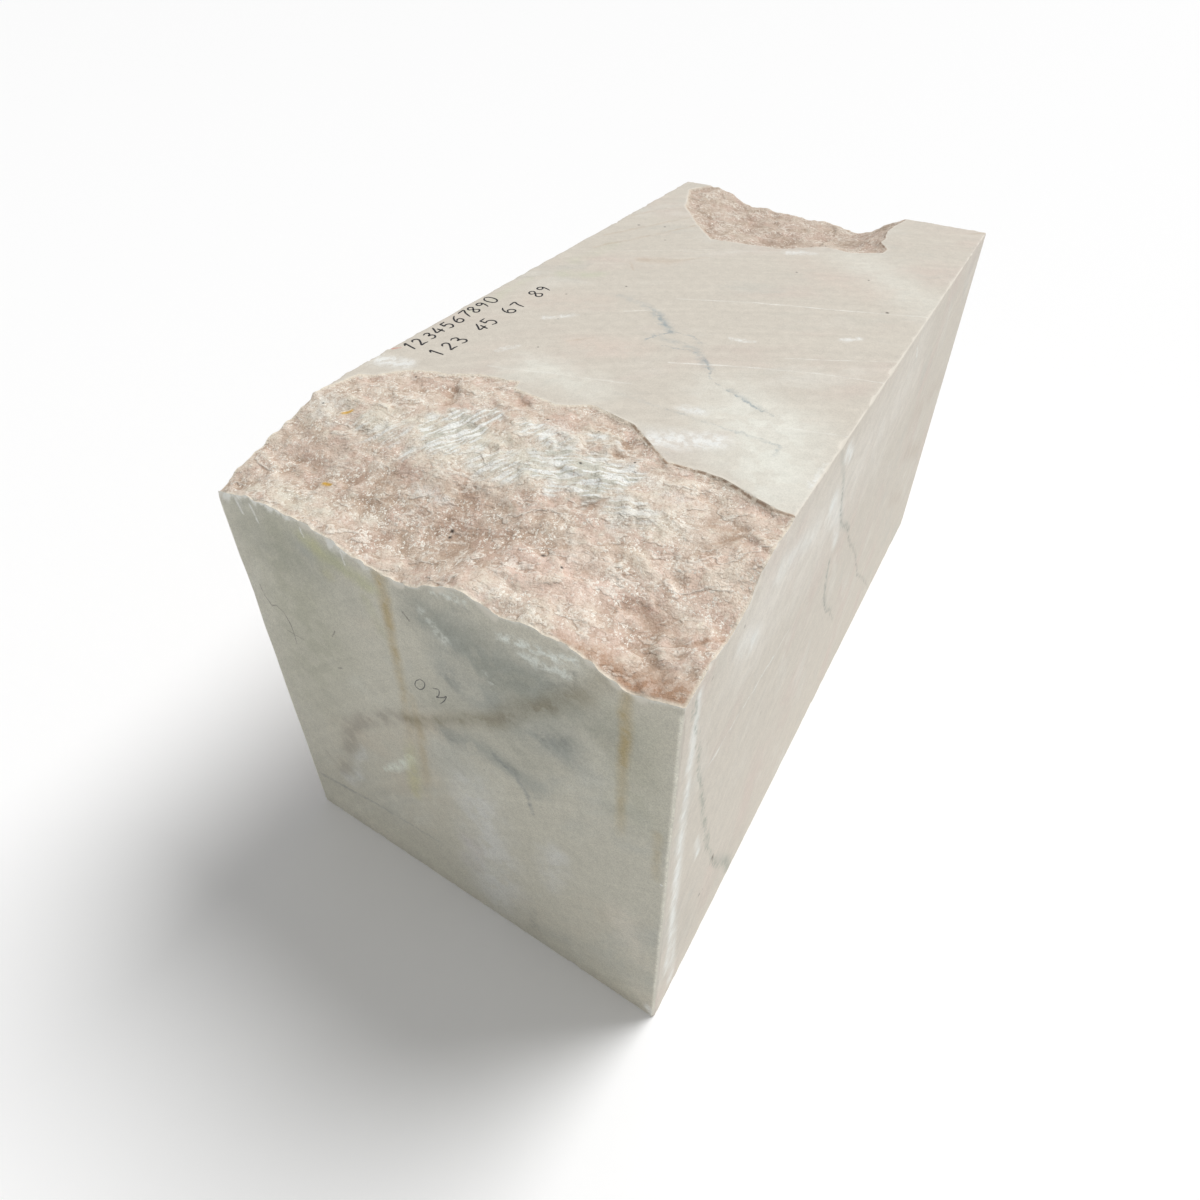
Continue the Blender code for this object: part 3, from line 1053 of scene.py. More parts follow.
    def _clouds(self, graph: Graph, given: Sockets) -> Sockets:
        """Soft tints inside the stone: pale, warm and grey clouds, drawn out along its bedding."""
        moved = graph.use(self.wander, Place=given["Place"], Amount=22.0, Size=90.0)["Place"]
        drawn = graph.stretch(moved, BEDDING_TURNS, BEDDING_SHARES)
        made = {"Mottle": graph.noise(moved, 9.0, 5.0, 0.65)}
        for label, shift, size, detail, rough, low, high in CLOUDS:
            place = graph.vector("ADD", drawn, shift) if shift else drawn
            made[label] = graph.ease(graph.noise(place, size, detail, rough), low, high)
        return made

    @staticmethod
    def _curls(graph: Graph, given: Sockets) -> Sockets:
        """Curling edges of thin flakes, where noise passes its middle value: painted highlight above and
        painted shade below.

        The flakes come in two sizes. Step is the height that an edge rises by, and Patch varies slowly.
        """
        drawn = graph.stretch(given["Place"], (0.0, 0.0, math.radians(25.0)), (1.7, 1.0, 1.0))
        found = []
        for size, detail, least in ((5.5, 1.0, 0.50), (19.0, 3.0, 0.42)):
            value, keep, patch = graph.split(graph.noise(drawn, size, detail, 0.55, colour=True))
            off = graph.math("SUBTRACT", value, 0.5)
            bright = graph.ease(graph.math("ABSOLUTE", graph.math("SUBTRACT", off, 0.02)), 0.034, 0.008)
            dark = graph.ease(graph.math("ABSOLUTE", graph.math("ADD", off, 0.022)), 0.026, 0.004)
            kept = graph.ease(keep, least, least + 0.14)
            step = graph.ease(off, -0.02, 0.02)
            found.append([graph.times(part, kept) for part in (bright, dark, step)] + [patch])
        small, large = found
        # The flakes' edges as painted highlight and painted shade, from both sizes.
        return {"Bright": graph.math("MAXIMUM", small[0], large[0]),
                "Painted shade": graph.math("MAXIMUM", graph.times(small[1], 0.6), large[1]),
                "Step": graph.math("MULTIPLY_ADD", large[2], 1.8, small[2]), "Patch": large[3]}


class Unrest:
    """Two noises that move and break up every mark on a face, worked out once for the face."""

    def __init__(self, graph: Graph, place: Socket, stroke: Tree) -> None:
        """Make the broad and the fine noise at a place.

        Args:
            graph: The material's graph.
            place: The place in millimetres on the face.
            stroke: The group that draws one stroke.
        """
        self.graph = graph
        self.place = place
        self.stroke = stroke
        self.moves = []
        self.parts = []
        for size in (28.0, 6.5):
            noise = graph.noise(place, size, 3.0, 0.6, colour=True)
            self.moves.append(graph.vector("SUBTRACT", noise, MIDDLE))
            self.parts.append(graph.split(noise))

    def moved(self, wander: float, ripple: float) -> Socket:
        """The place moved by up to so many millimetres in broad bends, and so many in fine ones."""
        place = self.place
        for move, amount in zip(self.moves, (wander, ripple)):
            place = self.graph.vector("MULTIPLY_ADD", move, (2.0 * amount,) * 3, place)
        return place

    def kept(self, fine: bool, part: int, share: float) -> Socket:
        """How much of a mark is kept: 1 in half of the places, falling by a share in the rest."""
        low, high = 0.5 - 0.14 * share, 0.5 + 0.10 * share
        return self.graph.ease(self.parts[fine][part], low, high, 1.0 - share, 1.0)

    def paint(self, colour: object, sets: tuple) -> object:
        """Lay sets of marks over a colour, one after another."""
        for marks in sets:
            colour = self.graph.blend(marks.mask(self), colour, marks.colour)
        return colour


@dataclass(frozen=True)
class Marks:
    """A set of veins, stains or patches of one colour, or of painted light or shade, drawn with strokes.

    Each stroke is a run of (u, v, half width, strength) in millimetres. A stroke of one point is a spot.
    """

    colour: Colour
    strokes: tuple
    wander: float = 3.0
    ripple: float = 1.0
    breakup: float = 0.5
    fine: bool = False
    part: int = 0
    opacity: float = 1.0

    def mask(self, unrest: Unrest) -> Socket:
        """The marks' strength at a place: the strongest stroke there, broken up by noise.

        Args:
            unrest: The face's noises.

        Returns:
            The mask's socket.
        """
        graph = unrest.graph
        moved = unrest.moved(self.wander, self.ripple)
        total = None
        for stroke in self.strokes:
            spot = [(stroke[0], (stroke[0][0] + SPOT_LENGTH, *stroke[0][1:]))]
            for one, two in list(zip(stroke, stroke[1:])) or spot:
                made = graph.use(unrest.stroke, **{
                    "Place": moved, "Start": (*one[:2], 0.0), "End": (*two[:2], 0.0), "Width one": one[2],
                    "Width two": two[2], "Strength one": one[3], "Strength two": two[3]})["Mask"]
                total = made if total is None else graph.math("MAXIMUM", total, made)
        if self.breakup:
            total = graph.times(total, unrest.kept(self.fine, self.part, self.breakup))
        return graph.times(total, self.opacity)


def rgb(red: float, green: float, blue: float) -> Colour:
    """A linear colour with full opacity."""
    return (red, green, blue, 1.0)


@dataclass(frozen=True)
class SawnFinish:
    """Sawn marble on one face."""

    name: str
    plane: Plane
    base: Colour
    pale: Colour
    warm: Colour
    grey: Colour
    chip_and_highlight: Colour
    bruise: Colour
    marks: tuple = ()
    saw_tone: float = 0.18
    mottle: float = 0.26
    grain: float = 0.18
    grain_size: float = 0.9
    outline_pale: float = 0.0
    roughness: float = 0.62
    specular: float = 0.35
    bump: float = 0.25
    bump_depth: float = 0.0002

    def material(self, effects: Effects) -> Material:
        """Clouded stone, then its marks, then the saw's lines, with cream where an arris is worn: partly
        crushed crystals, partly a painted highlight.

        Args:
            effects: The shared groups.

        Returns:
            The material.
        """
        made, graph, inputs = new_material(self.name, self.roughness, self.specular)
        places = graph.use(effects.corner_place)
        place, flat = places["Place"], places[self.plane.value]
        unrest = Unrest(graph, flat, effects.stroke)
        clouds = graph.use(effects.clouds, Place=place)
        grain = graph.use(effects.grain, Place=place, Size=self.grain_size)
        saw = graph.use(effects.saw, Place=flat, Centre=SAW_CENTRE)
        colour = self.base
        for label, share, over in (("Warm", 0.7, self.warm), ("Grey", 0.55, self.grey),
                                   ("Pale", 0.55, self.pale)):
            colour = graph.blend(graph.times(clouds[label], share), colour, over)
        colour = unrest.paint(colour, self.marks)
        tone = 1.0
        for value, amount in ((saw["Tone"], self.saw_tone), (clouds["Mottle"], self.mottle),
                              (grain["Tone"], self.grain)):
            tone = graph.math("MULTIPLY_ADD", graph.math("SUBTRACT", value, 0.5), amount, tone)
        colour = graph.blend(1.0, colour, graph.join(tone, tone, tone, kind="Color"), "MULTIPLY")
        # Cream where an arris is worn: partly crushed crystals, partly a painted highlight on the arris.
        chipped_and_highlight = graph.times(graph.ease(graph.number("worn"), 0.1, 0.9), 0.8)
        colour = graph.blend(chipped_and_highlight, colour, self.chip_and_highlight)
        bruise = graph.times(graph.number("bruise"), unrest.kept(True, 2, 0.6))
        colour = graph.blend(bruise, colour, self.bruise)
        if self.outline_pale:
            near = graph.times(graph.ease(graph.number("lip"), -3.2, -0.4), unrest.kept(True, 1, 0.8))
            colour = graph.blend(graph.times(near, self.outline_pale), colour, self.chip_and_highlight)
        height = graph.math("MULTIPLY_ADD", saw["Height"], 0.5, graph.times(grain["Height"], 0.35))
        graph.feed(inputs["Base Color"], colour)
        graph.feed(inputs["Normal"], graph.bump(height, self.bump, self.bump_depth))
        return made


@dataclass(frozen=True)
class BrokenFinish:
    """Freshly broken marble: sugary, pinkish, with fibrous white patches."""

    name: str
    base: Colour
    rosy: Colour
    tan: Colour
    cream: Colour
    painted_highlight: Colour
    dark: Colour
    white: Colour
    shade: Colour
    lip: Colour
    lip_start: float
    marks: tuple = ()
    specks: tuple = ()
    grain_size: float = 1.9
    roughness: float = 0.5
    specular: float = 0.45
    bump: float = 0.6
    bump_depth: float = 0.0008

    def material(self, effects: Effects) -> Material:
        """Mixed pinks and tans with cream crystals and painted glints, curling cracks in painted highlight
        and shade, fibrous and white on the splinters.

        Ridges get a painted highlight and hollows painted shade. A thin line of painted shade follows the
        outline from a place across the block on.

        Args:
            effects: The shared groups.

        Returns:
            The material.
        """
        made, graph, inputs = new_material(self.name, self.roughness, self.specular)
        places = graph.use(effects.corner_place)
        place, flat = places["Place"], places[Plane.TOP.value]
        unrest = Unrest(graph, flat, effects.stroke)
        broad, fine = unrest.parts
        curls = graph.use(effects.curls, Place=place)
        grain = graph.use(effects.grain, Place=place, Size=self.grain_size)

        colour = self.base
        for over, value, *span in ((self.rosy, broad[0], 0.42, 0.60), (self.tan, broad[1], 0.48, 0.64),
                                   (self.cream, fine[0], 0.50, 0.72, 0.0, 0.6),
                                   (self.dark, fine[1], 0.54, 0.76, 0.0, 0.4)):
            colour = graph.tint(colour, over, value, *span)
        colour = unrest.paint(colour, self.marks)
        relief = graph.number("relief")
        # Painted highlight on ridges and painted shade in hollows, following the relief.
        colour = graph.tint(colour, self.cream, relief, 0.3, 3.0, 0.0, 0.5)
        colour = graph.tint(colour, self.dark, relief, -0.4, -3.6, 0.0, 0.62)

        plain = 1.0
        for label, angle in (("steep", 66.0), ("level", 20.0)):
            drawn = graph.stretch(unrest.moved(2.0, 0.6), (0.0, 0.0, math.radians(angle)), (8.0, 1.0, 1.0))
            streak = graph.noise(drawn, 3.4, 1.0, 0.5)
            zone = graph.number(label)
            colour = graph.tint(colour, self.shade, zone, 0.05, 0.7, 0.0, 0.8)
            plain = graph.times(graph.ease(zone, 0.6, 0.05, 0.25, 1.0), plain)
            bright = graph.times(graph.ease(zone, 0.08, 0.6), graph.ease(streak, 0.46, 0.56))
            colour = graph.blend(bright, colour, self.white)

        # Painted shade and painted highlight along the flakes' curling edges.
        for label, share, over in (("Painted shade", 0.42, self.dark), ("Bright", 0.5, self.painted_highlight)):
            colour = graph.blend(graph.times(graph.times(curls[label], share), plain), colour, over)
        # Painted glints: the brightest grain cells turned near white where the flakes gather.
        cluster = graph.times(graph.ease(curls["Patch"], 0.40, 0.60, 0.25, 1.0), plain)
        painted_glint = graph.times(graph.ease(grain["Tone"], 0.64, 0.80), cluster)
        colour = graph.blend(painted_glint, colour, self.painted_highlight)
        colour = graph.tint(colour, self.dark, grain["Tone"], 0.34, 0.16, 0.0, 0.4)
        colour = unrest.paint(colour, self.specks)

        inward = graph.number("lip")
        edge = graph.math("MINIMUM", inward, graph.number("rim"))
        # Cream near the outline and the rims: partly bruised crystals, partly a painted highlight.
        colour = graph.tint(colour, self.cream, edge, 3.6, 0.4, 0.0, 0.75)
        # Painted shade: a thin dark brown line just inside the outline, from lip_start across, for the small
        # step at the lip.
        across = graph.split(flat, "XYZ")[0]
        line = graph.ease(graph.math("ABSOLUTE", graph.math("SUBTRACT", inward, 1.1)), 1.5, 0.2)
        line = graph.times(line, graph.ease(across, self.lip_start, self.lip_start + 25.0))
        line = graph.times(line, unrest.kept(True, 2, 0.7))
        colour = graph.blend(graph.times(line, 0.85), colour, self.lip)
        height = graph.math("MULTIPLY_ADD", curls["Step"], 0.9, grain["Height"])
        graph.feed(inputs["Base Color"], colour)
        graph.feed(inputs["Normal"], graph.bump(height, self.bump, self.bump_depth))
        return made


TOP_MARKS = (
    Marks(rgb(0.83, 0.83, 0.75), wander=16, ripple=2, breakup=0.3, opacity=0.95, strokes=(
        ((385, 190, 60, 0.8), (350, 250, 80, 0.9), (300, 290, 60, 0.5)), ((130, 240, 40, 0.6),
        (200, 236, 36, 0.5)), ((300, 640, 60, 0.4), (390, 560, 50, 0.4)))),
    Marks(rgb(0.70, 0.59, 0.51), wander=14, ripple=2, breakup=0.4, part=1, opacity=0.8, strokes=(
        ((150, 300, 40, 0.8), (190, 318, 34, 0.7)), ((330, 560, 50, 0.5), (250, 600, 40, 0.3)),
        ((60, 360, 40, 0.5), (110, 400, 30, 0.4)))),
    Marks(rgb(0.56, 0.58, 0.43), wander=10, ripple=3, breakup=0.5, part=2, opacity=0.6, strokes=(
        ((40, 432, 20, 0.8), (72, 452, 14, 0.9)), ((28, 470, 16, 0.5), (40, 540, 16, 0.4)),
        ((12, 300, 10, 0.5), (16, 400, 10, 0.4)))),
    Marks(rgb(0.52, 0.39, 0.27), wander=5, ripple=2.5, breakup=0.5, opacity=0.55, strokes=(
        ((92, 514, 13, 0.6), (118, 524, 14, 1), (134, 540, 7, 0.7), (150, 560, 4, 0.5)), ((24, 520, 5, 0.6),
        (58, 580, 4, 0.5), (92, 648, 4, 0.6)), ((14, 560, 4, 0.5), (48, 626, 4, 0.6), (72, 672, 3, 0.5)),
        ((6, 640, 4, 0.6), (30, 690, 4, 0.5)), ((385, 795, 3, 0.6), (406, 806, 3, 0.8)), ((84, 500, 3, 0.5),
        (100, 482, 2, 0.5)), ((132, 300, 3, 0.5), (148, 318, 3, 0.4)))),
    Marks(rgb(0.88, 0.89, 0.86), wander=5, ripple=5, breakup=0.65, fine=True, opacity=0.85, strokes=(
        ((10, 178, 17, 1), (34, 186, 14, 1)), ((8, 112, 12, 0.9), (30, 120, 9, 0.9)), ((278, 192, 20, 1),
        (300, 204, 22, 1), (322, 216, 18, 1)), ((280, 247, 10, 0.9), (296, 250, 8, 0.9)), ((262, 382, 6, 0.9),
        (279, 389, 5, 0.9)), ((350, 436, 7, 0.8), (362, 446, 6, 0.9)), ((84, 328, 6, 0.8),
        (106, 349, 6, 0.7)), ((88, 250, 6, 0.6), (98, 266, 5, 0.5)), ((225, 622, 12, 0.8),
        (250, 634, 10, 0.6)), ((404, 200, 5, 0.7), (405, 232, 5, 0.6)))),
    Marks(rgb(0.88, 0.87, 0.81), wander=2.2, ripple=0.8, breakup=0.6, opacity=0.7, strokes=(
        ((176, 438, 1.7, 0.6), (240, 468, 2, 1), (280, 483, 2, 1), (340, 503, 1.7, 0.9),
        (406, 528, 1.6, 0.8)), ((232, 311, 1.8, 0.9), (280, 333, 2.2, 1), (350, 360, 1.6, 0.8),
        (406, 374, 1.4, 0.7)), ((318, 372, 1.6, 0.7), (406, 419, 1.4, 0.7)), ((143, 383, 1.8, 0.9),
        (172, 404, 1.5, 0.6)), ((98, 221, 1.5, 0.6), (222, 260, 1.4, 0.6)), ((360, 262, 1.5, 0.7),
        (406, 276, 1.4, 0.8)), ((20, 500, 1.4, 0.4), (170, 600, 1.4, 0.5)), ((120, 560, 1.5, 0.4),
        (230, 626, 1.5, 0.5)))),
    Marks(rgb(0.36, 0.41, 0.42), wander=1.5, ripple=5, breakup=0.8, fine=True, opacity=0.6, strokes=(
        ((120, 415, 7, 0.3), (158, 406, 8, 0.6), (176, 394, 9, 1), (192, 378, 9, 1), (206, 366, 6, 1)),
        ((196, 352, 7, 0.5), (240, 346, 7, 0.6), (268, 318, 8, 0.7)), ((300, 294, 6, 0.5),
        (334, 278, 7, 0.6)), ((210, 240, 3, 0.1), (366, 236, 3, 0.9), (367, 222, 3, 0.5)),
        ((222, 372, 3, 0.5), (244, 354, 3, 0.5)))),
    Marks(rgb(0.27, 0.33, 0.36), wander=2.5, ripple=4.5, breakup=0.75, fine=True, part=1, opacity=0.66,
          strokes=(
        ((205, 367, 3.2, 1), (199, 357, 2.6, 1), (194, 345, 2.2, 1), (193, 334, 1.8, 0.9)),
        ((212, 337, 1.8, 0.6), (235, 341, 2, 0.9), (250, 337, 2.8, 1), (261, 329, 3.2, 1), (268, 317, 2.8, 1),
        (275, 304, 2.2, 0.9)), ((283, 299, 1.8, 0.6), (301, 291, 2.4, 0.9), (320, 284, 3.2, 1),
        (332, 277, 2.4, 1), (345, 274, 1.8, 0.7)), ((176, 394, 3, 1), (196, 374, 3.6, 1)),
        ((206, 368, 1.5, 0.8), (228, 369, 1.4, 0.7), (242, 360, 1.4, 0.6)))),
    Marks(rgb(0.08, 0.06, 0.05), wander=0.2, ripple=0.7, breakup=0.0, strokes=(
        ((368, 517, 2.8, 1),), ((62, 624, 2.4, 0.9),), ((328, 589, 2, 0.9),), ((254, 570, 2, 0.9),),
        ((31, 613, 2.8, 0.8),), ((114, 438, 1.8, 0.9),), ((84, 583, 2.2, 0.6),), ((71, 388, 2, 0.6),),
        ((115, 274, 1.6, 0.7),), ((97, 334, 1.6, 0.6),))),
    Marks(rgb(0.62, 0.10, 0.07), wander=0.4, ripple=1.5, breakup=0.4, fine=True, opacity=0.8, strokes=(
        ((3, 201, 2.4, 0.9), (8, 207, 1.8, 0.7)),)),
)

FRONT_MARKS = (
    Marks(rgb(0.42, 0.42, 0.32), wander=18, ripple=3, breakup=0.4, opacity=0.8, strokes=(
        ((60, 400, 70, 0.8), (70, 300, 80, 0.8), (40, 200, 60, 0.5)), ((372, 380, 40, 0.7),
        (380, 300, 40, 0.5)))),
    Marks(rgb(0.35, 0.37, 0.34), wander=14, ripple=4, breakup=0.45, part=1, opacity=0.85, strokes=(
        ((205, 395, 34, 0.8), (250, 380, 48, 0.9), (310, 385, 34, 0.9)), ((230, 345, 40, 0.8),
        (320, 330, 34, 0.9)), ((210, 268, 20, 0.8), (245, 275, 20, 0.7), (290, 262, 24, 0.8)),
        ((90, 404, 22, 0.6), (130, 412, 16, 0.5)))),
    # Darker along the top of the front face: partly the stone's grey-olive cloud, partly painted shade.
    Marks(rgb(0.30, 0.31, 0.26), wander=18, ripple=3, breakup=0.35, part=2, opacity=0.68, strokes=(
        ((215, 396, 44, 0.7), (290, 370, 60, 0.9), (350, 372, 44, 0.7)), ((120, 380, 40, 0.5),
        (40, 390, 40, 0.5)), ((200, 300, 40, 0.5), (290, 300, 50, 0.6)))),
    Marks(rgb(0.74, 0.73, 0.61), wander=8, ripple=2, breakup=0.3, part=1, opacity=0.5, strokes=(
        ((10, 22, 30, 0.9), (110, 26, 32, 0.9), (200, 14, 22, 0.6)), ((300, 14, 18, 0.4),
        (380, 20, 26, 0.7)))),
    Marks(rgb(0.74, 0.75, 0.74), wander=14, ripple=4, breakup=0.55, part=2, opacity=0.6, strokes=(
        ((232, 200, 44, 0.8), (236, 120, 50, 0.9), (236, 40, 52, 0.8)), ((312, 182, 22, 0.8),
        (300, 130, 24, 0.5)), ((56, 82, 16, 0.7), (76, 116, 12, 0.7), (92, 160, 10, 0.5)))),
    Marks(rgb(0.62, 0.56, 0.62), wander=10, ripple=3, breakup=0.5, opacity=0.35, strokes=(
        ((216, 110, 22, 0.8), (214, 70, 20, 0.6)),)),
    Marks(rgb(0.77, 0.72, 0.62), wander=14, ripple=3, breakup=0.5, part=1, opacity=0.6, strokes=(
        ((372, 150, 26, 0.9), (384, 90, 26, 0.6)), ((390, 40, 20, 0.6), (396, 10, 16, 0.6)),
        ((30, 20, 30, 0.4), (120, 16, 24, 0.4)))),
    Marks(rgb(0.22, 0.23, 0.215), wander=5, ripple=7, breakup=0.8, fine=True, opacity=0.5, strokes=(
        ((222, 338, 11, 0.7), (232, 328, 8, 0.6)), ((306, 327, 16, 0.9), (322, 336, 15, 0.9)),
        ((331, 412, 7, 1), (331, 398, 6, 0.8), (308, 386, 6, 0.7)), ((216, 264, 11, 0.8), (200, 262, 7, 0.6)),
        ((258, 272, 7, 0.6), (276, 268, 9, 0.8)), ((238, 418, 5, 0.6), (250, 424, 5, 0.6)),
        ((280, 24, 9, 0.6), (283, 60, 5, 0.3)), ((146, 243, 7, 0.5), (128, 232, 6, 0.5)))),
    Marks(rgb(0.46, 0.47, 0.24), wander=6, ripple=2, breakup=0.4, part=1, opacity=0.5, strokes=(
        ((92, 416, 12, 0.8), (122, 408, 16, 1), (158, 398, 14, 0.9)), ((150, 380, 12, 0.6),
        (160, 350, 9, 0.3)))),
    Marks(rgb(0.23, 0.195, 0.12), wander=6, ripple=0.4, breakup=0.4, part=1, opacity=0.62, strokes=(
        ((352, 420, 15, 0.5), (340, 400, 16, 0.8), (322, 379, 16, 1), (290, 350, 16, 1), (260, 317, 15, 1),
        (224, 293, 12, 1), (192, 268, 12, 1), (166, 254, 14, 1)),)),
    Marks(rgb(0.31, 0.27, 0.22), wander=8, ripple=1.5, breakup=0.6, part=2, opacity=0.6, strokes=(
        ((166, 254, 12, 0.7), (136, 235, 15, 0.9), (108, 211, 16, 1), (86, 186, 17, 0.9), (75, 153, 17, 0.8),
        (64, 121, 15, 0.8), (50, 90, 11, 0.7)), ((34, 110, 4, 0.7), (50, 92, 5, 0.8)))),
    Marks(rgb(0.82, 0.86, 0.76), wander=1.2, ripple=4, breakup=0.5, fine=True, opacity=0.8, strokes=(
        ((160, 195, 8, 1), (148, 178, 10, 1), (134, 162, 9, 1), (119, 148, 6, 0.8)),)),
    Marks(rgb(0.55, 0.53, 0.27), wander=6, ripple=2.5, breakup=0.45, opacity=0.55, strokes=(
        ((162, 215, 12, 0.5), (158, 165, 15, 0.9), (154, 138, 13, 0.7)), ((104, 414, 14, 0.8),
        (112, 390, 14, 0.5)))),
    Marks(rgb(0.42, 0.29, 0.08), wander=3.5, ripple=1.2, breakup=0.4, part=2, opacity=0.68, strokes=(
        ((170, 418, 11, 1), (170, 378, 9, 0.9), (169, 340, 9, 0.8), (168, 296, 9, 0.55), (167, 256, 9, 0.3),
        (164, 200, 8, 0)), ((176, 290, 8, 0.3), (178, 240, 9, 0.45), (174, 190, 10, 0.4), (168, 130, 9, 0)),
        ((368, 420, 8, 1), (368, 362, 7.5, 0.9), (367, 326, 7, 0.7), (367, 262, 7, 0.2)), ((396, 288, 7, 0.6),
        (397, 232, 7, 0.2)))),
    Marks(rgb(0.22, 0.24, 0.25), wander=1.2, ripple=3, breakup=0.6, fine=True, opacity=0.6, strokes=(
        ((256, 274, 4, 0.5), (275, 262, 4.5, 0.9), (286, 243, 4, 1), (289, 222, 3, 1)), ((10, 54, 4, 0.7),
        (52, 61, 4, 0.8), (100, 68, 3.5, 0.6), (170, 72, 3, 0.5)))),
    Marks(rgb(0.20, 0.18, 0.15), wander=0.4, ripple=1.6, breakup=0.25, fine=True, opacity=0.85, strokes=(
        ((16, 330, 1, 0.8), (18, 318, 1.1, 0.9), (24, 309, 1.3, 1), (30, 313, 1.1, 0.9), (38, 308, 1.3, 1),
        (42, 298, 1.3, 1), (43, 288, 1.2, 1), (42, 272, 1, 0.7)), ((35, 285, 1, 0.8), (54, 284, 1, 0.7)),
        ((92, 271, 1.4, 0.8), (97, 274, 1.3, 0.8)), ((96, 312, 1.2, 0.8), (102, 321, 1.2, 0.9)),
        ((187, 388, 1.6, 0.9), (192, 382, 1.5, 0.9)), ((244, 244, 1.4, 0.8),))),
    Marks(rgb(0.84, 0.88, 0.82), wander=2.5, ripple=6, breakup=1.0, fine=True, part=2, opacity=0.85, strokes=(
        ((276, 412, 7, 0.9), (296, 416, 9, 1), (316, 418, 8, 1), (332, 424, 6, 1)), ((294, 404, 10, 0.7),
        (324, 408, 8, 0.8)), ((206, 400, 8, 0.5), (224, 380, 9, 0.5)), ((218, 424, 5, 0.7),
        (246, 429, 6, 0.8)), ((258, 366, 6, 0.5), (262, 360, 5, 0.5)))),
    Marks(rgb(0.86, 0.86, 0.82), wander=0.5, ripple=2, breakup=0.4, fine=True, opacity=0.9, strokes=(
        ((134, 421, 1.6, 1), (136, 409, 1.2, 0.9)), ((94, 425, 1.8, 1), (96, 417, 1.4, 0.8)),
        ((24, 422, 3, 1), (27, 410, 2, 0.8)), ((40, 424, 2.6, 1), (44, 408, 1.6, 0.9)), ((402, 228, 2.4, 1),),
        ((400, 14, 7, 1), (406, 4, 7, 1)))),
    # Painted highlight: pale cream lines along the front face's right, left and bottom arrises.
    Marks(rgb(0.95, 0.92, 0.80), wander=0.3, ripple=0.5, breakup=0.3, fine=True, part=1, opacity=0.95,
          strokes=(
        ((405.4, 420, 3.2, 1), (405.4, 0, 3.4, 1)), ((1, 410, 1.8, 0.7), (1, 0, 1.8, 0.6)),
        ((0, 0.5, 1.8, 0.5), (406, 0.5, 2.2, 0.7)))),
)

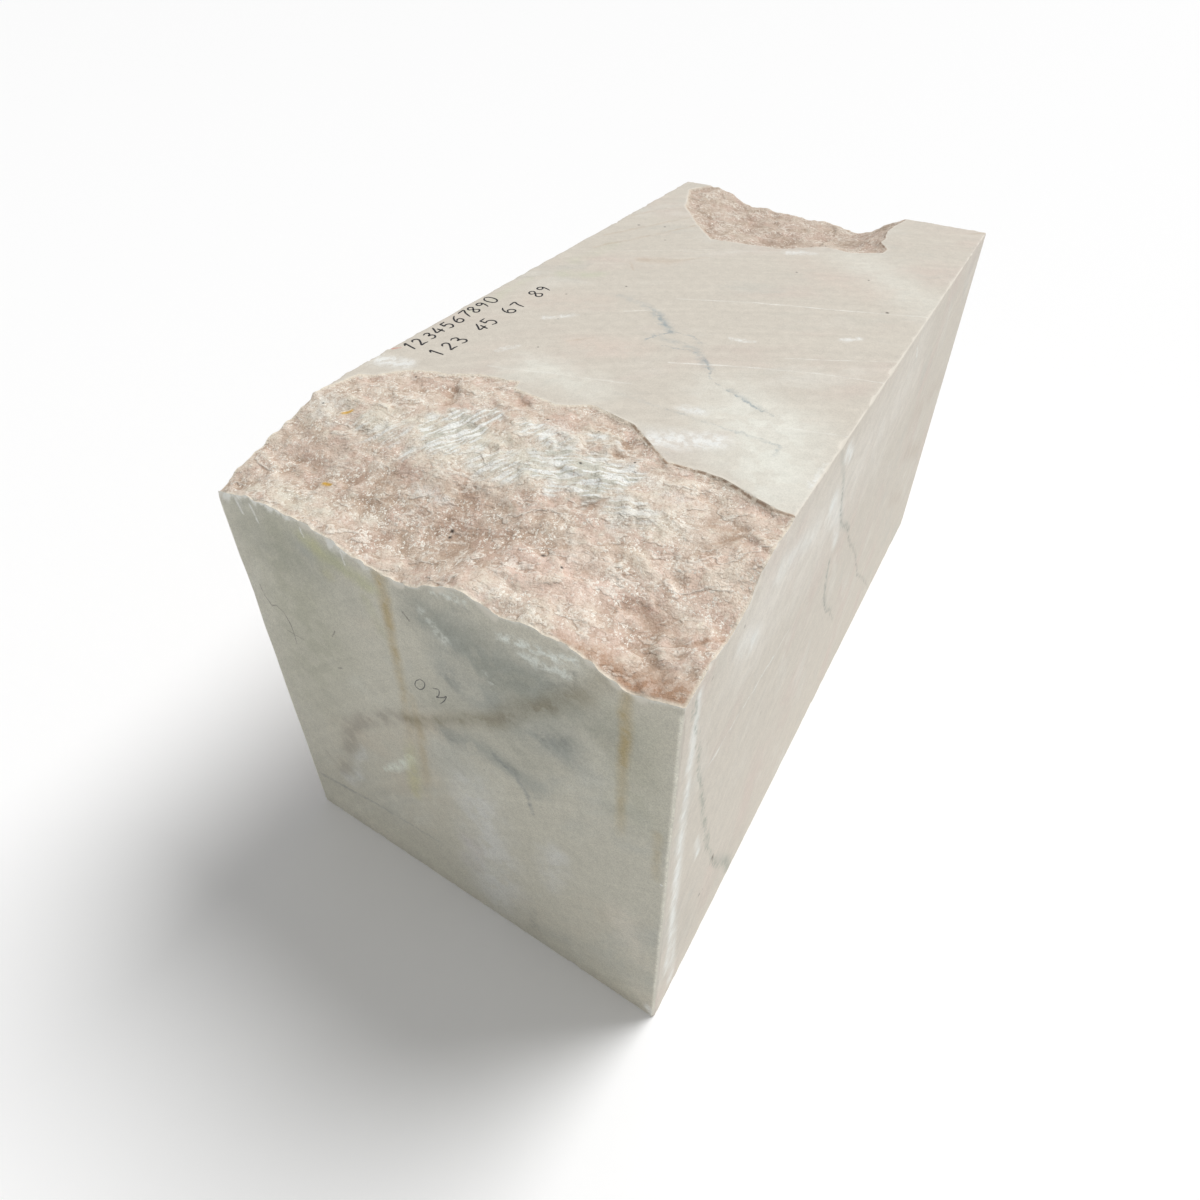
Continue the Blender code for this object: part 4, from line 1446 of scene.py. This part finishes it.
SIDE_MARKS = (
    # Painted light: the upper part of the right face made paler, where light falls on it.
    Marks(rgb(0.80, 0.76, 0.69), wander=16, ripple=2, breakup=0.4, part=1, opacity=0.85, strokes=(
        ((120, 400, 90, 0.8), (300, 380, 90, 0.8), (520, 400, 90, 0.7)),)),
    # Painted shade: the right face made darker low down near its front end.
    Marks(rgb(0.56, 0.51, 0.44), wander=16, ripple=3, breakup=0.4, opacity=0.5, strokes=(
        ((30, 160, 40, 0.7), (60, 60, 60, 0.9), (180, 40, 50, 0.6)),)),
    Marks(rgb(0.86, 0.87, 0.83), wander=6, ripple=4, breakup=0.5, opacity=0.92, strokes=(
        ((20, 420, 8, 0.8), (16, 300, 10, 1), (18, 200, 11, 1), (18, 60, 10, 1)), ((284, 440, 14, 1),
        (298, 428, 12, 1)), ((272, 394, 22, 0.9), (306, 352, 19, 0.9), (320, 318, 12, 0.6)),
        ((90, 400, 20, 0.8), (116, 378, 16, 0.7)), ((48, 218, 8, 1), (56, 188, 8, 1)), ((50, 309, 2.5, 0.8),
        (210, 304, 2.5, 0.7)), ((150, 418, 20, 0.5), (230, 396, 20, 0.5)), ((500, 436, 3, 0.6),
        (516, 418, 3, 0.6)), ((24, 120, 10, 0.7), (30, 20, 12, 0.7)))),
    Marks(rgb(0.40, 0.42, 0.37), wander=4, ripple=2, breakup=0.5, fine=True, opacity=0.55, strokes=(
        ((260, 452, 6, 0.6), (280, 427, 7, 0.8), (295, 397, 7, 0.9), (311, 360, 8, 0.9), (326, 337, 9, 0.9),
        (350, 317, 7, 0.9), (371, 298, 8, 0.9)), ((312, 302, 7, 0.8), (317, 272, 7, 0.7), (328, 240, 8, 0.7),
        (352, 207, 7, 0.6), (380, 180, 6, 0.4)), ((104, 108, 8, 0.7), (140, 47, 12, 0.8),
        (158, 10, 14, 0.8)))),
    Marks(rgb(0.24, 0.24, 0.20), wander=5, ripple=6, breakup=0.85, fine=True, opacity=0.6, strokes=(
        ((296, 394, 2.4, 0.8), (318, 346, 3, 0.9), (350, 317, 3, 1), (371, 299, 3.6, 1), (382, 276, 4.2, 1),
        (402, 256, 4, 1), (424, 236, 3.6, 0.9), (457, 196, 3.6, 0.9), (500, 137, 4, 0.9), (556, 86, 4, 0.8),
        (616, 24, 3.6, 0.7), (632, 0, 3.4, 0.7)), ((312, 302, 2.6, 1), (317, 272, 2.8, 1), (328, 240, 3.2, 1),
        (344, 213, 3.6, 1), (370, 187, 3, 0.7), (410, 140, 2.8, 0.5)), ((350, 317, 2, 0.6),
        (346, 296, 2.2, 0.6)))),
    Marks(rgb(0.29, 0.32, 0.26), wander=5, ripple=7, breakup=0.85, fine=True, part=1, opacity=0.66, strokes=(
        ((10, 440, 5, 0.7), (15, 407, 6, 0.9), (25, 377, 5, 0.8), (34, 330, 4, 0.9), (45, 288, 5, 1),
        (54, 252, 6, 1), (63, 222, 6, 1), (71, 192, 6, 1), (80, 158, 5, 0.9), (92, 133, 5, 0.9),
        (100, 110, 6, 1), (116, 76, 7, 0.8), (140, 46, 9, 0.8), (156, 8, 10, 0.7)), ((74, 194, 6, 0.9),
        (78, 168, 6, 0.8)))),
    Marks(rgb(0.14, 0.10, 0.07), wander=0.4, ripple=1.6, breakup=0.3, fine=True, opacity=0.8, strokes=(
        ((97, 120, 4, 1), (99, 112, 3.6, 1)), ((76, 89, 3.4, 1),), ((83, 86, 2, 0.8),),
        ((38, 416, 2.4, 0.7),), ((86, 418, 2.4, 0.7),), ((168, 240, 1.8, 0.5),))),
    Marks(rgb(0.50, 0.41, 0.33), wander=16, ripple=2, breakup=0.6, opacity=0.5, strokes=(
        ((640, 230, 24, 0.7), (760, 170, 20, 0.7)), ((600, 190, 16, 0.6), (700, 120, 20, 0.5)),
        ((600, 300, 30, 0.5), (800, 262, 22, 0.5)))),
)

LEFT_MARKS = (
    Marks(rgb(0.45, 0.47, 0.46), wander=9, ripple=4, breakup=0.6, fine=True, opacity=0.6, strokes=(
        ((30, 60, 7, 0.5), (110, 150, 8, 0.8), (210, 230, 6, 0.8), (330, 300, 9, 0.8), (440, 392, 6, 0.6),
        (500, 450, 5, 0.5)), ((330, 300, 5, 0.7), (420, 250, 6, 0.6), (530, 222, 4, 0.4)))),
    Marks(rgb(0.27, 0.29, 0.28), wander=7, ripple=5, breakup=0.8, fine=True, part=1, opacity=0.6, strokes=(
        ((30, 60, 2.4, 0.8), (110, 150, 3, 0.9), (210, 230, 3, 1), (330, 300, 3.4, 1), (440, 392, 2.6, 0.8)),
        ((330, 300, 2.4, 0.9), (420, 250, 2.4, 0.8), (530, 222, 2, 0.5)), ((640, 400, 3, 0.7),
        (700, 330, 4, 0.8), (748, 220, 3, 0.6)))),
    Marks(rgb(0.82, 0.82, 0.77), wander=10, ripple=4, breakup=0.6, opacity=0.75, strokes=(
        ((560, 330, 26, 0.8), (640, 270, 30, 0.7)), ((90, 340, 22, 0.6), (150, 300, 18, 0.6)),
        ((240, 80, 2, 0.9), (470, 170, 2, 0.9), (640, 215, 1.6, 0.8)), ((360, 420, 12, 0.8),
        (410, 400, 10, 0.7)))),
    Marks(rgb(0.16, 0.12, 0.09), wander=0.4, ripple=1.4, breakup=0.2, opacity=0.8, strokes=(
        ((300, 120, 2.2, 0.8),), ((612, 160, 1.8, 0.8),), ((704, 396, 2, 0.7),), ((128, 402, 1.6, 0.7),))),
    Marks(rgb(0.48, 0.38, 0.20), wander=2, ripple=0.5, breakup=0.4, opacity=0.5, strokes=(
        ((236, 452, 7, 0.8), (238, 350, 6, 0.6), (236, 240, 6, 0.3), (238, 150, 5, 0.1)),)),
)

BACK_MARKS = (
    Marks(rgb(0.45, 0.47, 0.46), wander=8, ripple=4, breakup=0.6, fine=True, opacity=0.6, strokes=(
        ((20, 330, 7, 0.6), (90, 270, 9, 0.8), (170, 236, 6, 0.7), (250, 160, 8, 0.8), (330, 96, 6, 0.6),
        (400, 70, 5, 0.5)), ((170, 236, 4, 0.6), (210, 300, 5, 0.5), (290, 352, 4, 0.3)))),
    Marks(rgb(0.27, 0.29, 0.28), wander=7, ripple=5, breakup=0.8, fine=True, part=1, opacity=0.6, strokes=(
        ((20, 330, 2.6, 0.8), (90, 270, 3.2, 1), (170, 236, 3, 1), (250, 160, 3, 1), (330, 96, 2.4, 0.8)),
        ((170, 236, 2.2, 0.8), (210, 300, 2.4, 0.8), (290, 352, 2, 0.6)))),
    Marks(rgb(0.82, 0.82, 0.77), wander=10, ripple=4, breakup=0.6, opacity=0.75, strokes=(
        ((320, 330, 28, 0.7), (350, 260, 24, 0.6)), ((80, 120, 24, 0.6), (120, 70, 18, 0.5)))),
    Marks(rgb(0.46, 0.35, 0.16), wander=2, ripple=0.5, breakup=0.4, opacity=0.6, strokes=(
        ((228, 426, 7, 0.9), (228, 350, 6, 0.6), (226, 270, 6, 0.3)),)),
)

BROKEN_MARKS = (
    Marks(rgb(0.68, 0.51, 0.42), wander=14, ripple=5, breakup=0.5, opacity=0.7, strokes=(
        ((14, 41, 22, 0.8), (45, 62, 26, 0.9), (66, 76, 18, 0.8)), ((123, 80, 15, 0.7),), ((56, 168, 16, 0.8),
        (92, 186, 15, 1), (133, 197, 12, 0.9)), ((172, 56, 24, 0.9), (218, 56, 28, 1), (258, 58, 22, 0.9)),
        ((225, 204, 14, 0.8), (262, 190, 10, 0.8)))),
    Marks(rgb(0.87, 0.67, 0.565), wander=14, ripple=5, breakup=0.4, opacity=0.7, strokes=(
        ((262, 40, 30, 0.8), (330, 60, 44, 1)), ((330, 150, 22, 0.7),))),
    Marks(rgb(0.98, 0.77, 0.63), wander=12, ripple=5, breakup=0.35, opacity=0.75, strokes=(
        ((362, 84, 26, 0.8), (392, 102, 32, 1)), ((385, 150, 18, 0.9),))),
    Marks(rgb(0.80, 0.77, 0.65), wander=12, ripple=6, breakup=0.5, part=1, opacity=0.8, strokes=(
        ((70, 118, 26, 0.8), (124, 124, 36, 1), (178, 126, 38, 1), (221, 126, 38, 1), (256, 140, 38, 1)),
        ((11, 100, 24, 0.9), (34, 112, 22, 0.8)), ((31, 15, 17, 0.9), (97, 23, 22, 1), (134, 33, 17, 0.8)),
        ((303, 106, 22, 0.7), (336, 120, 18, 0.6)))),
    Marks(rgb(0.42, 0.22, 0.15), wander=2, ripple=5, breakup=0.7, fine=True, part=1, opacity=0.6, strokes=(
        ((385, 166, 6, 0.8), (404, 160, 7, 1)), ((340, 56, 12, 0.9), (348, 58, 10, 0.9), (366, 54, 9, 0.7)),
        ((186, 56, 12, 0.8), (206, 54, 10, 0.7)), ((122, 80, 6, 0.8), (128, 72, 5, 0.7)), ((100, 184, 8, 0.6),
        (124, 190, 6, 0.6)))),
    Marks(rgb(0.88, 0.88, 0.83), wander=3, ripple=7, breakup=0.8, fine=True, part=2, opacity=0.75, strokes=(
        ((205, 172, 14, 0.9), (222, 166, 12, 1)), ((147, 66, 8, 1), (164, 69, 8, 1), (180, 71, 6, 0.9)),
        ((16, 108, 15, 0.9), (34, 110, 11, 0.8)), ((20, 94, 10, 0.8), (42, 90, 8, 0.7)),
        ((120, 95, 13, 0.6),), ((300, 100, 12, 0.8), (312, 118, 10, 0.8)), ((292, 152, 12, 0.6),
        (330, 140, 12, 0.7)), ((255, 10, 8, 0.8), (266, 12, 6, 0.7)), ((292, 9, 8, 0.8),))),
    # Painted shade: thin dark brown lines along the break's ledges, where their small steps fall in shade.
    Marks(rgb(0.34, 0.23, 0.17), wander=4, ripple=3.5, breakup=0.5, fine=True, opacity=0.7, strokes=(
        ((54, 184, 1.6, 0.9), (66, 170, 1.6, 0.9), (80, 158, 1.8, 0.9), (104, 136, 1.6, 0.7)),
        ((-6, 57, 1.6, 0.8), (30, 77, 1.8, 0.9), (78, 94, 1.6, 0.9), (130, 97, 1.4, 0.6)),
        ((112, 57, 1.5, 0.7), (138, 74, 1.7, 0.9), (170, 82, 1.5, 0.7)), ((254, 61, 1.5, 0.7),
        (285, 56, 1.7, 0.9), (306, 67, 1.5, 0.8)), ((340, 76, 1.8, 0.9), (372, 90, 1.8, 0.9),
        (398, 84, 1.6, 0.7)), ((161, 11, 1.5, 0.7), (186, 29, 1.6, 0.8), (217, 43, 1.4, 0.6)))),
)

BROKEN_SPECKS = (
    Marks(rgb(0.43, 0.24, 0.14), wander=2.5, ripple=4, breakup=0.5, fine=True, opacity=0.86, strokes=(
        ((322, 0, 10, 0.9), (350, 5, 19, 1), (380, 7, 22, 1), (406, 7, 20, 1)), ((316, -2, 3, 0.8),
        (333, 3, 4, 1), (346, 9, 4, 1), (360, 12, 3, 0.8)), ((386, 42, 4, 0.8), (403, 57, 4, 0.8)))),
    Marks(rgb(0.70, 0.40, 0.04), wander=0.3, ripple=1, breakup=0.0, opacity=0.95, strokes=(
        ((39, 104, 4, 1), (43, 109, 3, 1)), ((78, 41, 3.4, 1), (84, 42, 2.4, 1)))),
    Marks(rgb(0.03, 0.025, 0.02), wander=0.2, ripple=0.8, breakup=0.0, strokes=(
        ((191, 179, 1.9, 1),), ((246, 142, 2.1, 1),), ((281, 162, 1.7, 1),), ((193, 53, 2.6, 1),),
        ((195, 48, 2.1, 1),), ((272, 55, 3.2, 1),), ((290, 50, 1.8, 1),), ((16, 104, 1.8, 0.9),),
        ((56, 174, 1.8, 0.9),), ((236, 184, 1.6, 0.8),))),
)

BACK_BREAK_MARKS = (
    Marks(rgb(0.42, 0.28, 0.20), wander=10, ripple=3, breakup=0.6, opacity=0.6, strokes=(
        ((140, 640, 16, 0.6), (200, 650, 14, 0.7), (250, 680, 14, 0.6)), ((290, 700, 12, 0.7),
        (296, 760, 12, 0.7)))),
    Marks(rgb(0.10, 0.07, 0.06), wander=0.5, ripple=1.6, breakup=0.0, opacity=0.8, strokes=(
        ((107, 660, 5, 0.9),), ((180, 700, 2.4, 0.8),), ((230, 740, 2.4, 0.7),))),
)

SAWN = dict(base=rgb(0.66, 0.61, 0.53), pale=rgb(0.74, 0.71, 0.64), warm=rgb(0.66, 0.57, 0.50),
            grey=rgb(0.58, 0.57, 0.51), chip_and_highlight=rgb(0.80, 0.75, 0.66), bruise=rgb(0.80, 0.78, 0.72))
# The front's sawn stone: a darker copy of the sawn colours, painted shade for the face turned from the lamp,
# with stronger mottle and grain.
SAWN_PAINTED_SHADE = dict(base=rgb(0.60, 0.58, 0.49), pale=rgb(0.68, 0.68, 0.60), warm=rgb(0.60, 0.55, 0.45),
              grey=rgb(0.51, 0.52, 0.47), chip_and_highlight=rgb(0.80, 0.76, 0.66), bruise=rgb(0.86, 0.86, 0.80),
              mottle=0.28, grain=0.34)

# Strokes of the ten figures, in a box one wide; y runs up.
FIGURES = (
    (((0.5, 1.6), (0.1, 1.3), (0.0, 0.8), (0.15, 0.2), (0.5, 0.0), (0.9, 0.25), (1.0, 0.8), (0.85, 1.35),
     (0.45, 1.6)),),
    (((0.25, 1.25), (0.58, 1.6), (0.54, 0.8), (0.5, 0.0)),),
    (((0.05, 1.25), (0.3, 1.58), (0.75, 1.5), (0.85, 1.1), (0.5, 0.6), (0.04, 0.06), (0.5, 0.1),
     (1.0, 0.0)),),
    (((0.1, 1.45), (0.5, 1.6), (0.85, 1.35), (0.7, 1.0), (0.38, 0.88), (0.8, 0.75), (0.95, 0.35), (0.6, 0.02),
     (0.05, 0.15)),),
    (((0.7, 1.6), (0.35, 1.05), (0.0, 0.5), (0.5, 0.48), (1.05, 0.54)), ((0.76, 1.05), (0.72, 0.5),
     (0.7, 0.0))),
    (((0.92, 1.58), (0.5, 1.56), (0.2, 1.54), (0.16, 1.2), (0.1, 0.9), (0.5, 1.0), (0.85, 0.8), (0.9, 0.4),
     (0.55, 0.02), (0.05, 0.15)),),
    (((0.8, 1.6), (0.35, 1.25), (0.05, 0.7), (0.1, 0.2), (0.5, 0.0), (0.9, 0.2), (0.85, 0.65), (0.5, 0.8),
     (0.12, 0.5)),),
    (((0.0, 1.48), (0.5, 1.55), (1.0, 1.52), (0.65, 0.9), (0.42, 0.0)),),
    (((0.58, 0.86), (0.15, 1.15), (0.25, 1.5), (0.6, 1.6), (0.9, 1.3), (0.52, 0.84), (0.1, 0.45), (0.2, 0.08),
     (0.55, 0.0), (0.95, 0.3), (0.6, 0.84)),),
    (((0.9, 1.25), (0.55, 0.98), (0.15, 1.1), (0.15, 1.48), (0.55, 1.6), (0.9, 1.3), (0.86, 0.7),
     (0.62, 0.0)),),
)


@dataclass
class DrawnLines:
    """Lines drawn by hand on a sawn face, as thin closed bands that lie on it."""

    half_width: float
    proud: float
    sunk: float = 0.15
    steps: int = 5
    taper: float = 0.6
    taper_share: float = 0.12

    def rounded(self, corners: tuple) -> Array:
        """A smooth line through its corners: between each two, the usual cubic that heeds their neighbours.

        Args:
            corners: The corners' (u, v).

        Returns:
            The line's places, (count, 2).
        """
        known = np.array(corners, float)
        padded = np.vstack([2.0 * known[0] - known[1], known, 2.0 * known[-1] - known[-2]])
        t = np.linspace(0.0, 1.0, self.steps, endpoint=False)[None, :, None]
        before, one, two, after = (padded[k:len(padded) - 3 + k, None, :] for k in range(4))
        line = one + 0.5 * t * (two - before + t * (2.0 * before - 5.0 * one + 4.0 * two - after
                                                    + t * (3.0 * (one - two) + after - before)))
        return np.vstack([line.reshape(-1, 2), known[-1:]])

    def band(self, line: Array, first: int) -> tuple[Array, list]:
        """One line as a closed band: four corners at each of its places, narrower at its two ends.

        Args:
            line: Places along it, (count, 2).
            first: Index of its first corner in the whole mesh.

        Returns:
            Corners as (u, v, out of the face), and faces.
        """
        run = np.gradient(line, axis=0)
        run = run / np.maximum(np.linalg.norm(run, axis=1, keepdims=True), 1e-6)
        left = np.stack([-run[:, 1], run[:, 0]], axis=1)
        share = np.linspace(0.0, 1.0, len(line))
        full = smooth(np.minimum(share, 1.0 - share) / self.taper_share)
        width = self.half_width * (self.taper + (1.0 - self.taper) * full)
        beside = left * width[:, None]
        low, high = np.full((len(line), 1), -self.sunk), np.full((len(line), 1), self.proud)
        ring = np.stack([np.hstack([line + beside, low]), np.hstack([line - beside, low]),
                         np.hstack([line - beside, high]), np.hstack([line + beside, high])], axis=1)
        index = first + np.arange(len(line) * 4).reshape(-1, 4)
        after = np.roll(index, -1, axis=1)
        quads = np.stack([index[:-1], index[1:], after[1:], after[:-1]], axis=2).reshape(-1, 4)
        return ring.reshape(-1, 3), quads.tolist() + [index[0].tolist(), index[-1, ::-1].tolist()]

    def build(self, name: str, lines: list, side: Side, material: Material) -> Item:
        """Make one piece of many lines.

        Args:
            name: Name of the piece.
            lines: Each line's corners, (x, y) on the top or (x, height) on the front.
            side: The face they lie on, TOP or FRONT.
            material: Their material.

        Returns:
            The object.
        """
        points, faces, count = [], [], 0
        for corners in lines:
            ring, made = self.band(self.rounded(corners), count)
            points.append(ring)
            faces += made
            count += len(ring)
        u, v, out = np.concatenate(points).T
        placed = (u, v, HEIGHT_MM + out) if side == Side.TOP else (u, -out, v)
        item = stone_object(name, np.stack(placed, axis=1), faces, np.zeros(len(faces)), {})
        item.data.materials.append(material)
        return item


@dataclass
class MarkerFigures:
    """Two rows of plain counting figures, hand-written in black marker along the top's left edge.

    A row is its figures, the x of their feet, the y of its start, the pitch and the size.
    """

    rows: tuple = (("1234567890", 21.0, 207.0, 13.6, 9.4), ("123 45 67 89", 51.5, 212.0, 15.4, 9.8))
    growth: tuple = (0.9, 1.12)
    lean: tuple = (-0.12, 0.2)
    rise: tuple = (-0.8, 0.8)
    narrowness: float = 0.95
    seed: int = 7

    def lines(self) -> list:
        """Every figure's strokes: they run to the back with their tops to the left, each a little tilted.

        Returns:
            Each stroke's corners, (count, 2) as (x, y).
        """
        rng = np.random.default_rng(self.seed)
        spans = (self.growth, self.lean, self.rise)
        made = []
        for text, foot, start, pitch, size in self.rows:
            for place, figure in enumerate(text):
                grown, lean, rise = (rng.uniform(*span) for span in spans)
                if figure == " ":
                    continue
                for stroke in FIGURES[int(figure)]:
                    corners = np.array(stroke) * size * grown
                    run = start + place * pitch + corners[:, 0] * self.narrowness + lean * corners[:, 1]
                    made.append(np.stack([foot + rise - corners[:, 1], run], axis=1))
        return made


def drawn_material(name: str, dense: Colour, thin: Colour) -> Material:
    """Ink or graphite that is dense in places and thin in others.

    Args:
        name: Name of the material.
        dense, thin: Its two colours.

    Returns:
        The material.
    """
    made, graph, inputs = new_material(name, 0.55)
    place = graph.vector("SCALE", graph.add("ShaderNodeTexCoord").outputs["Object"], 1.0 / MM)
    share = graph.ease(graph.noise(place, 2.2, 2.0, 0.6), 0.48, 0.72)
    graph.feed(inputs["Base Color"], graph.blend(share, dense, thin))
    return made


PENCIL_LINES = (
    ((190, 318), (185.5, 313), (184, 307), (188, 305), (193, 310), (195, 317), (190.5, 319)),
    ((203, 316), (209, 318), (208, 311), (205, 307), (212, 311), (216, 315), (213, 308), (208, 301)),
)


@dataclass
class Studio:
    """Floor, lights and camera."""

    floor_size: float = 60.0
    floor_colour: Colour = (0.97, 0.97, 0.97, 1.0)
    camera_place: tuple = (0.3120, -0.6773, 0.7978)
    camera_turn: tuple = (90.0 - 37.18, 0.0, 31.65)
    lens: float = 24.19
    shift: tuple = (0.0021, -0.0879)
    sky: float = 0.38
    lamp: float = 2.45
    lamp_softness: float = 30.0
    lamp_turn: tuple = (-34.0, 0.0, -28.0)

    def floor(self) -> Item:
        """A plain pale floor under the block."""
        half = self.floor_size / 2.0
        mesh = bpy.data.meshes.new("floor")
        mesh.from_pydata([(-half, -half, 0.0), (half, -half, 0.0), (half, half, 0.0), (-half, half, 0.0)],
                         [], [(0, 1, 2, 3)])
        item = bpy.data.objects.new("floor", mesh)
        bpy.context.scene.collection.objects.link(item)
        made, _, inputs = new_material("pale_floor", 0.8, 0.2)
        inputs["Base Color"].default_value = self.floor_colour
        mesh.materials.append(made)
        return item

    def lights(self) -> None:
        """A soft sky and one broad lamp high on the right, a little behind the block."""
        world = bpy.data.worlds.new("studio")
        world.use_nodes = True
        background = world.node_tree.nodes["Background"]
        background.inputs["Color"].default_value = rgb(1.0, 1.0, 1.0)
        background.inputs["Strength"].default_value = self.sky
        bpy.context.scene.world = world
        lamp = bpy.data.lights.new("softbox", "SUN")
        lamp.energy = self.lamp
        lamp.angle = math.radians(self.lamp_softness)
        item = bpy.data.objects.new("softbox", lamp)
        item.rotation_euler = [math.radians(angle) for angle in self.lamp_turn]
        bpy.context.scene.collection.objects.link(item)

    def camera(self) -> Item:
        """The camera, close to the block's front right corner and looking down at it."""
        lens = bpy.data.cameras.new("camera")
        lens.sensor_width = 36.0
        lens.lens = self.lens
        lens.shift_x, lens.shift_y = self.shift
        item = bpy.data.objects.new("camera", lens)
        item.location = self.camera_place
        item.rotation_euler = [math.radians(angle) for angle in self.camera_turn]
        bpy.context.scene.collection.objects.link(item)
        bpy.context.scene.camera = item
        return item


def main() -> None:
    """Build the stage and the block, and report each piece."""
    logging.basicConfig(level=logging.INFO, format="%(name)s: %(message)s")
    bpy.context.scene.view_settings.view_transform = "Standard"
    studio = Studio()
    studio.camera()
    studio.lights()
    studio.floor()
    effects = Effects()
    block = StoneSkin().build()
    finishes = {
        Side.TOP: SawnFinish("sawn_top", Plane.TOP, marks=TOP_MARKS, outline_pale=0.7, **SAWN),
        Side.FRONT: SawnFinish("sawn_front", Plane.FRONT, marks=FRONT_MARKS, **SAWN_PAINTED_SHADE),
        Side.RIGHT: SawnFinish("sawn_right", Plane.SIDE, marks=SIDE_MARKS, **SAWN),
        Side.BACK: SawnFinish("sawn_back", Plane.FRONT, marks=BACK_MARKS, **SAWN),
        Side.LEFT: SawnFinish("sawn_left", Plane.SIDE, marks=LEFT_MARKS, **SAWN),
        Side.BASE: SawnFinish("sawn_base", Plane.TOP, **SAWN),
        Side.FRONT_BREAK: BrokenFinish(
            "broken_front", base=rgb(0.77, 0.65, 0.54), rosy=rgb(0.73, 0.56, 0.46), tan=rgb(0.67, 0.54, 0.43),
            cream=rgb(0.90, 0.83, 0.69), painted_highlight=rgb(0.98, 0.93, 0.83), dark=rgb(0.42, 0.28, 0.19),
            white=rgb(0.94, 0.95, 0.91), shade=rgb(0.62, 0.63, 0.55), lip=rgb(0.36, 0.23, 0.15),
            lip_start=235.0, marks=BROKEN_MARKS, specks=BROKEN_SPECKS),
        Side.BACK_BREAK: BrokenFinish(
            "broken_back", base=rgb(0.64, 0.52, 0.42), rosy=rgb(0.60, 0.45, 0.36), tan=rgb(0.54, 0.42, 0.32),
            cream=rgb(0.78, 0.69, 0.57), painted_highlight=rgb(0.92, 0.86, 0.76), dark=rgb(0.34, 0.22, 0.15),
            white=rgb(0.80, 0.78, 0.72), shade=rgb(0.56, 0.53, 0.46), lip=rgb(0.32, 0.19, 0.12),
            lip_start=270.0, marks=BACK_BREAK_MARKS),
    }
    for side in Side:
        block.data.materials.append(finishes[side].material(effects))
    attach(block, "root")
    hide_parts("marble_block")
    LOG.info("block: %d faces", len(block.data.polygons))
    ink = drawn_material("marker_ink", rgb(0.012, 0.012, 0.016), rgb(0.10, 0.09, 0.09))
    graphite = drawn_material("graphite", rgb(0.13, 0.13, 0.12), rgb(0.34, 0.33, 0.30))
    for item in (DrawnLines(0.92, 0.12).build("marker_figures", MarkerFigures().lines(), Side.TOP, ink),
                 DrawnLines(0.45, 0.08).build("pencil_scribble", list(PENCIL_LINES), Side.FRONT, graphite)):
        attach(item, "root")
        LOG.info("%s: %d faces", item.name, len(item.data.polygons))


if __name__ == "__main__":
    main()
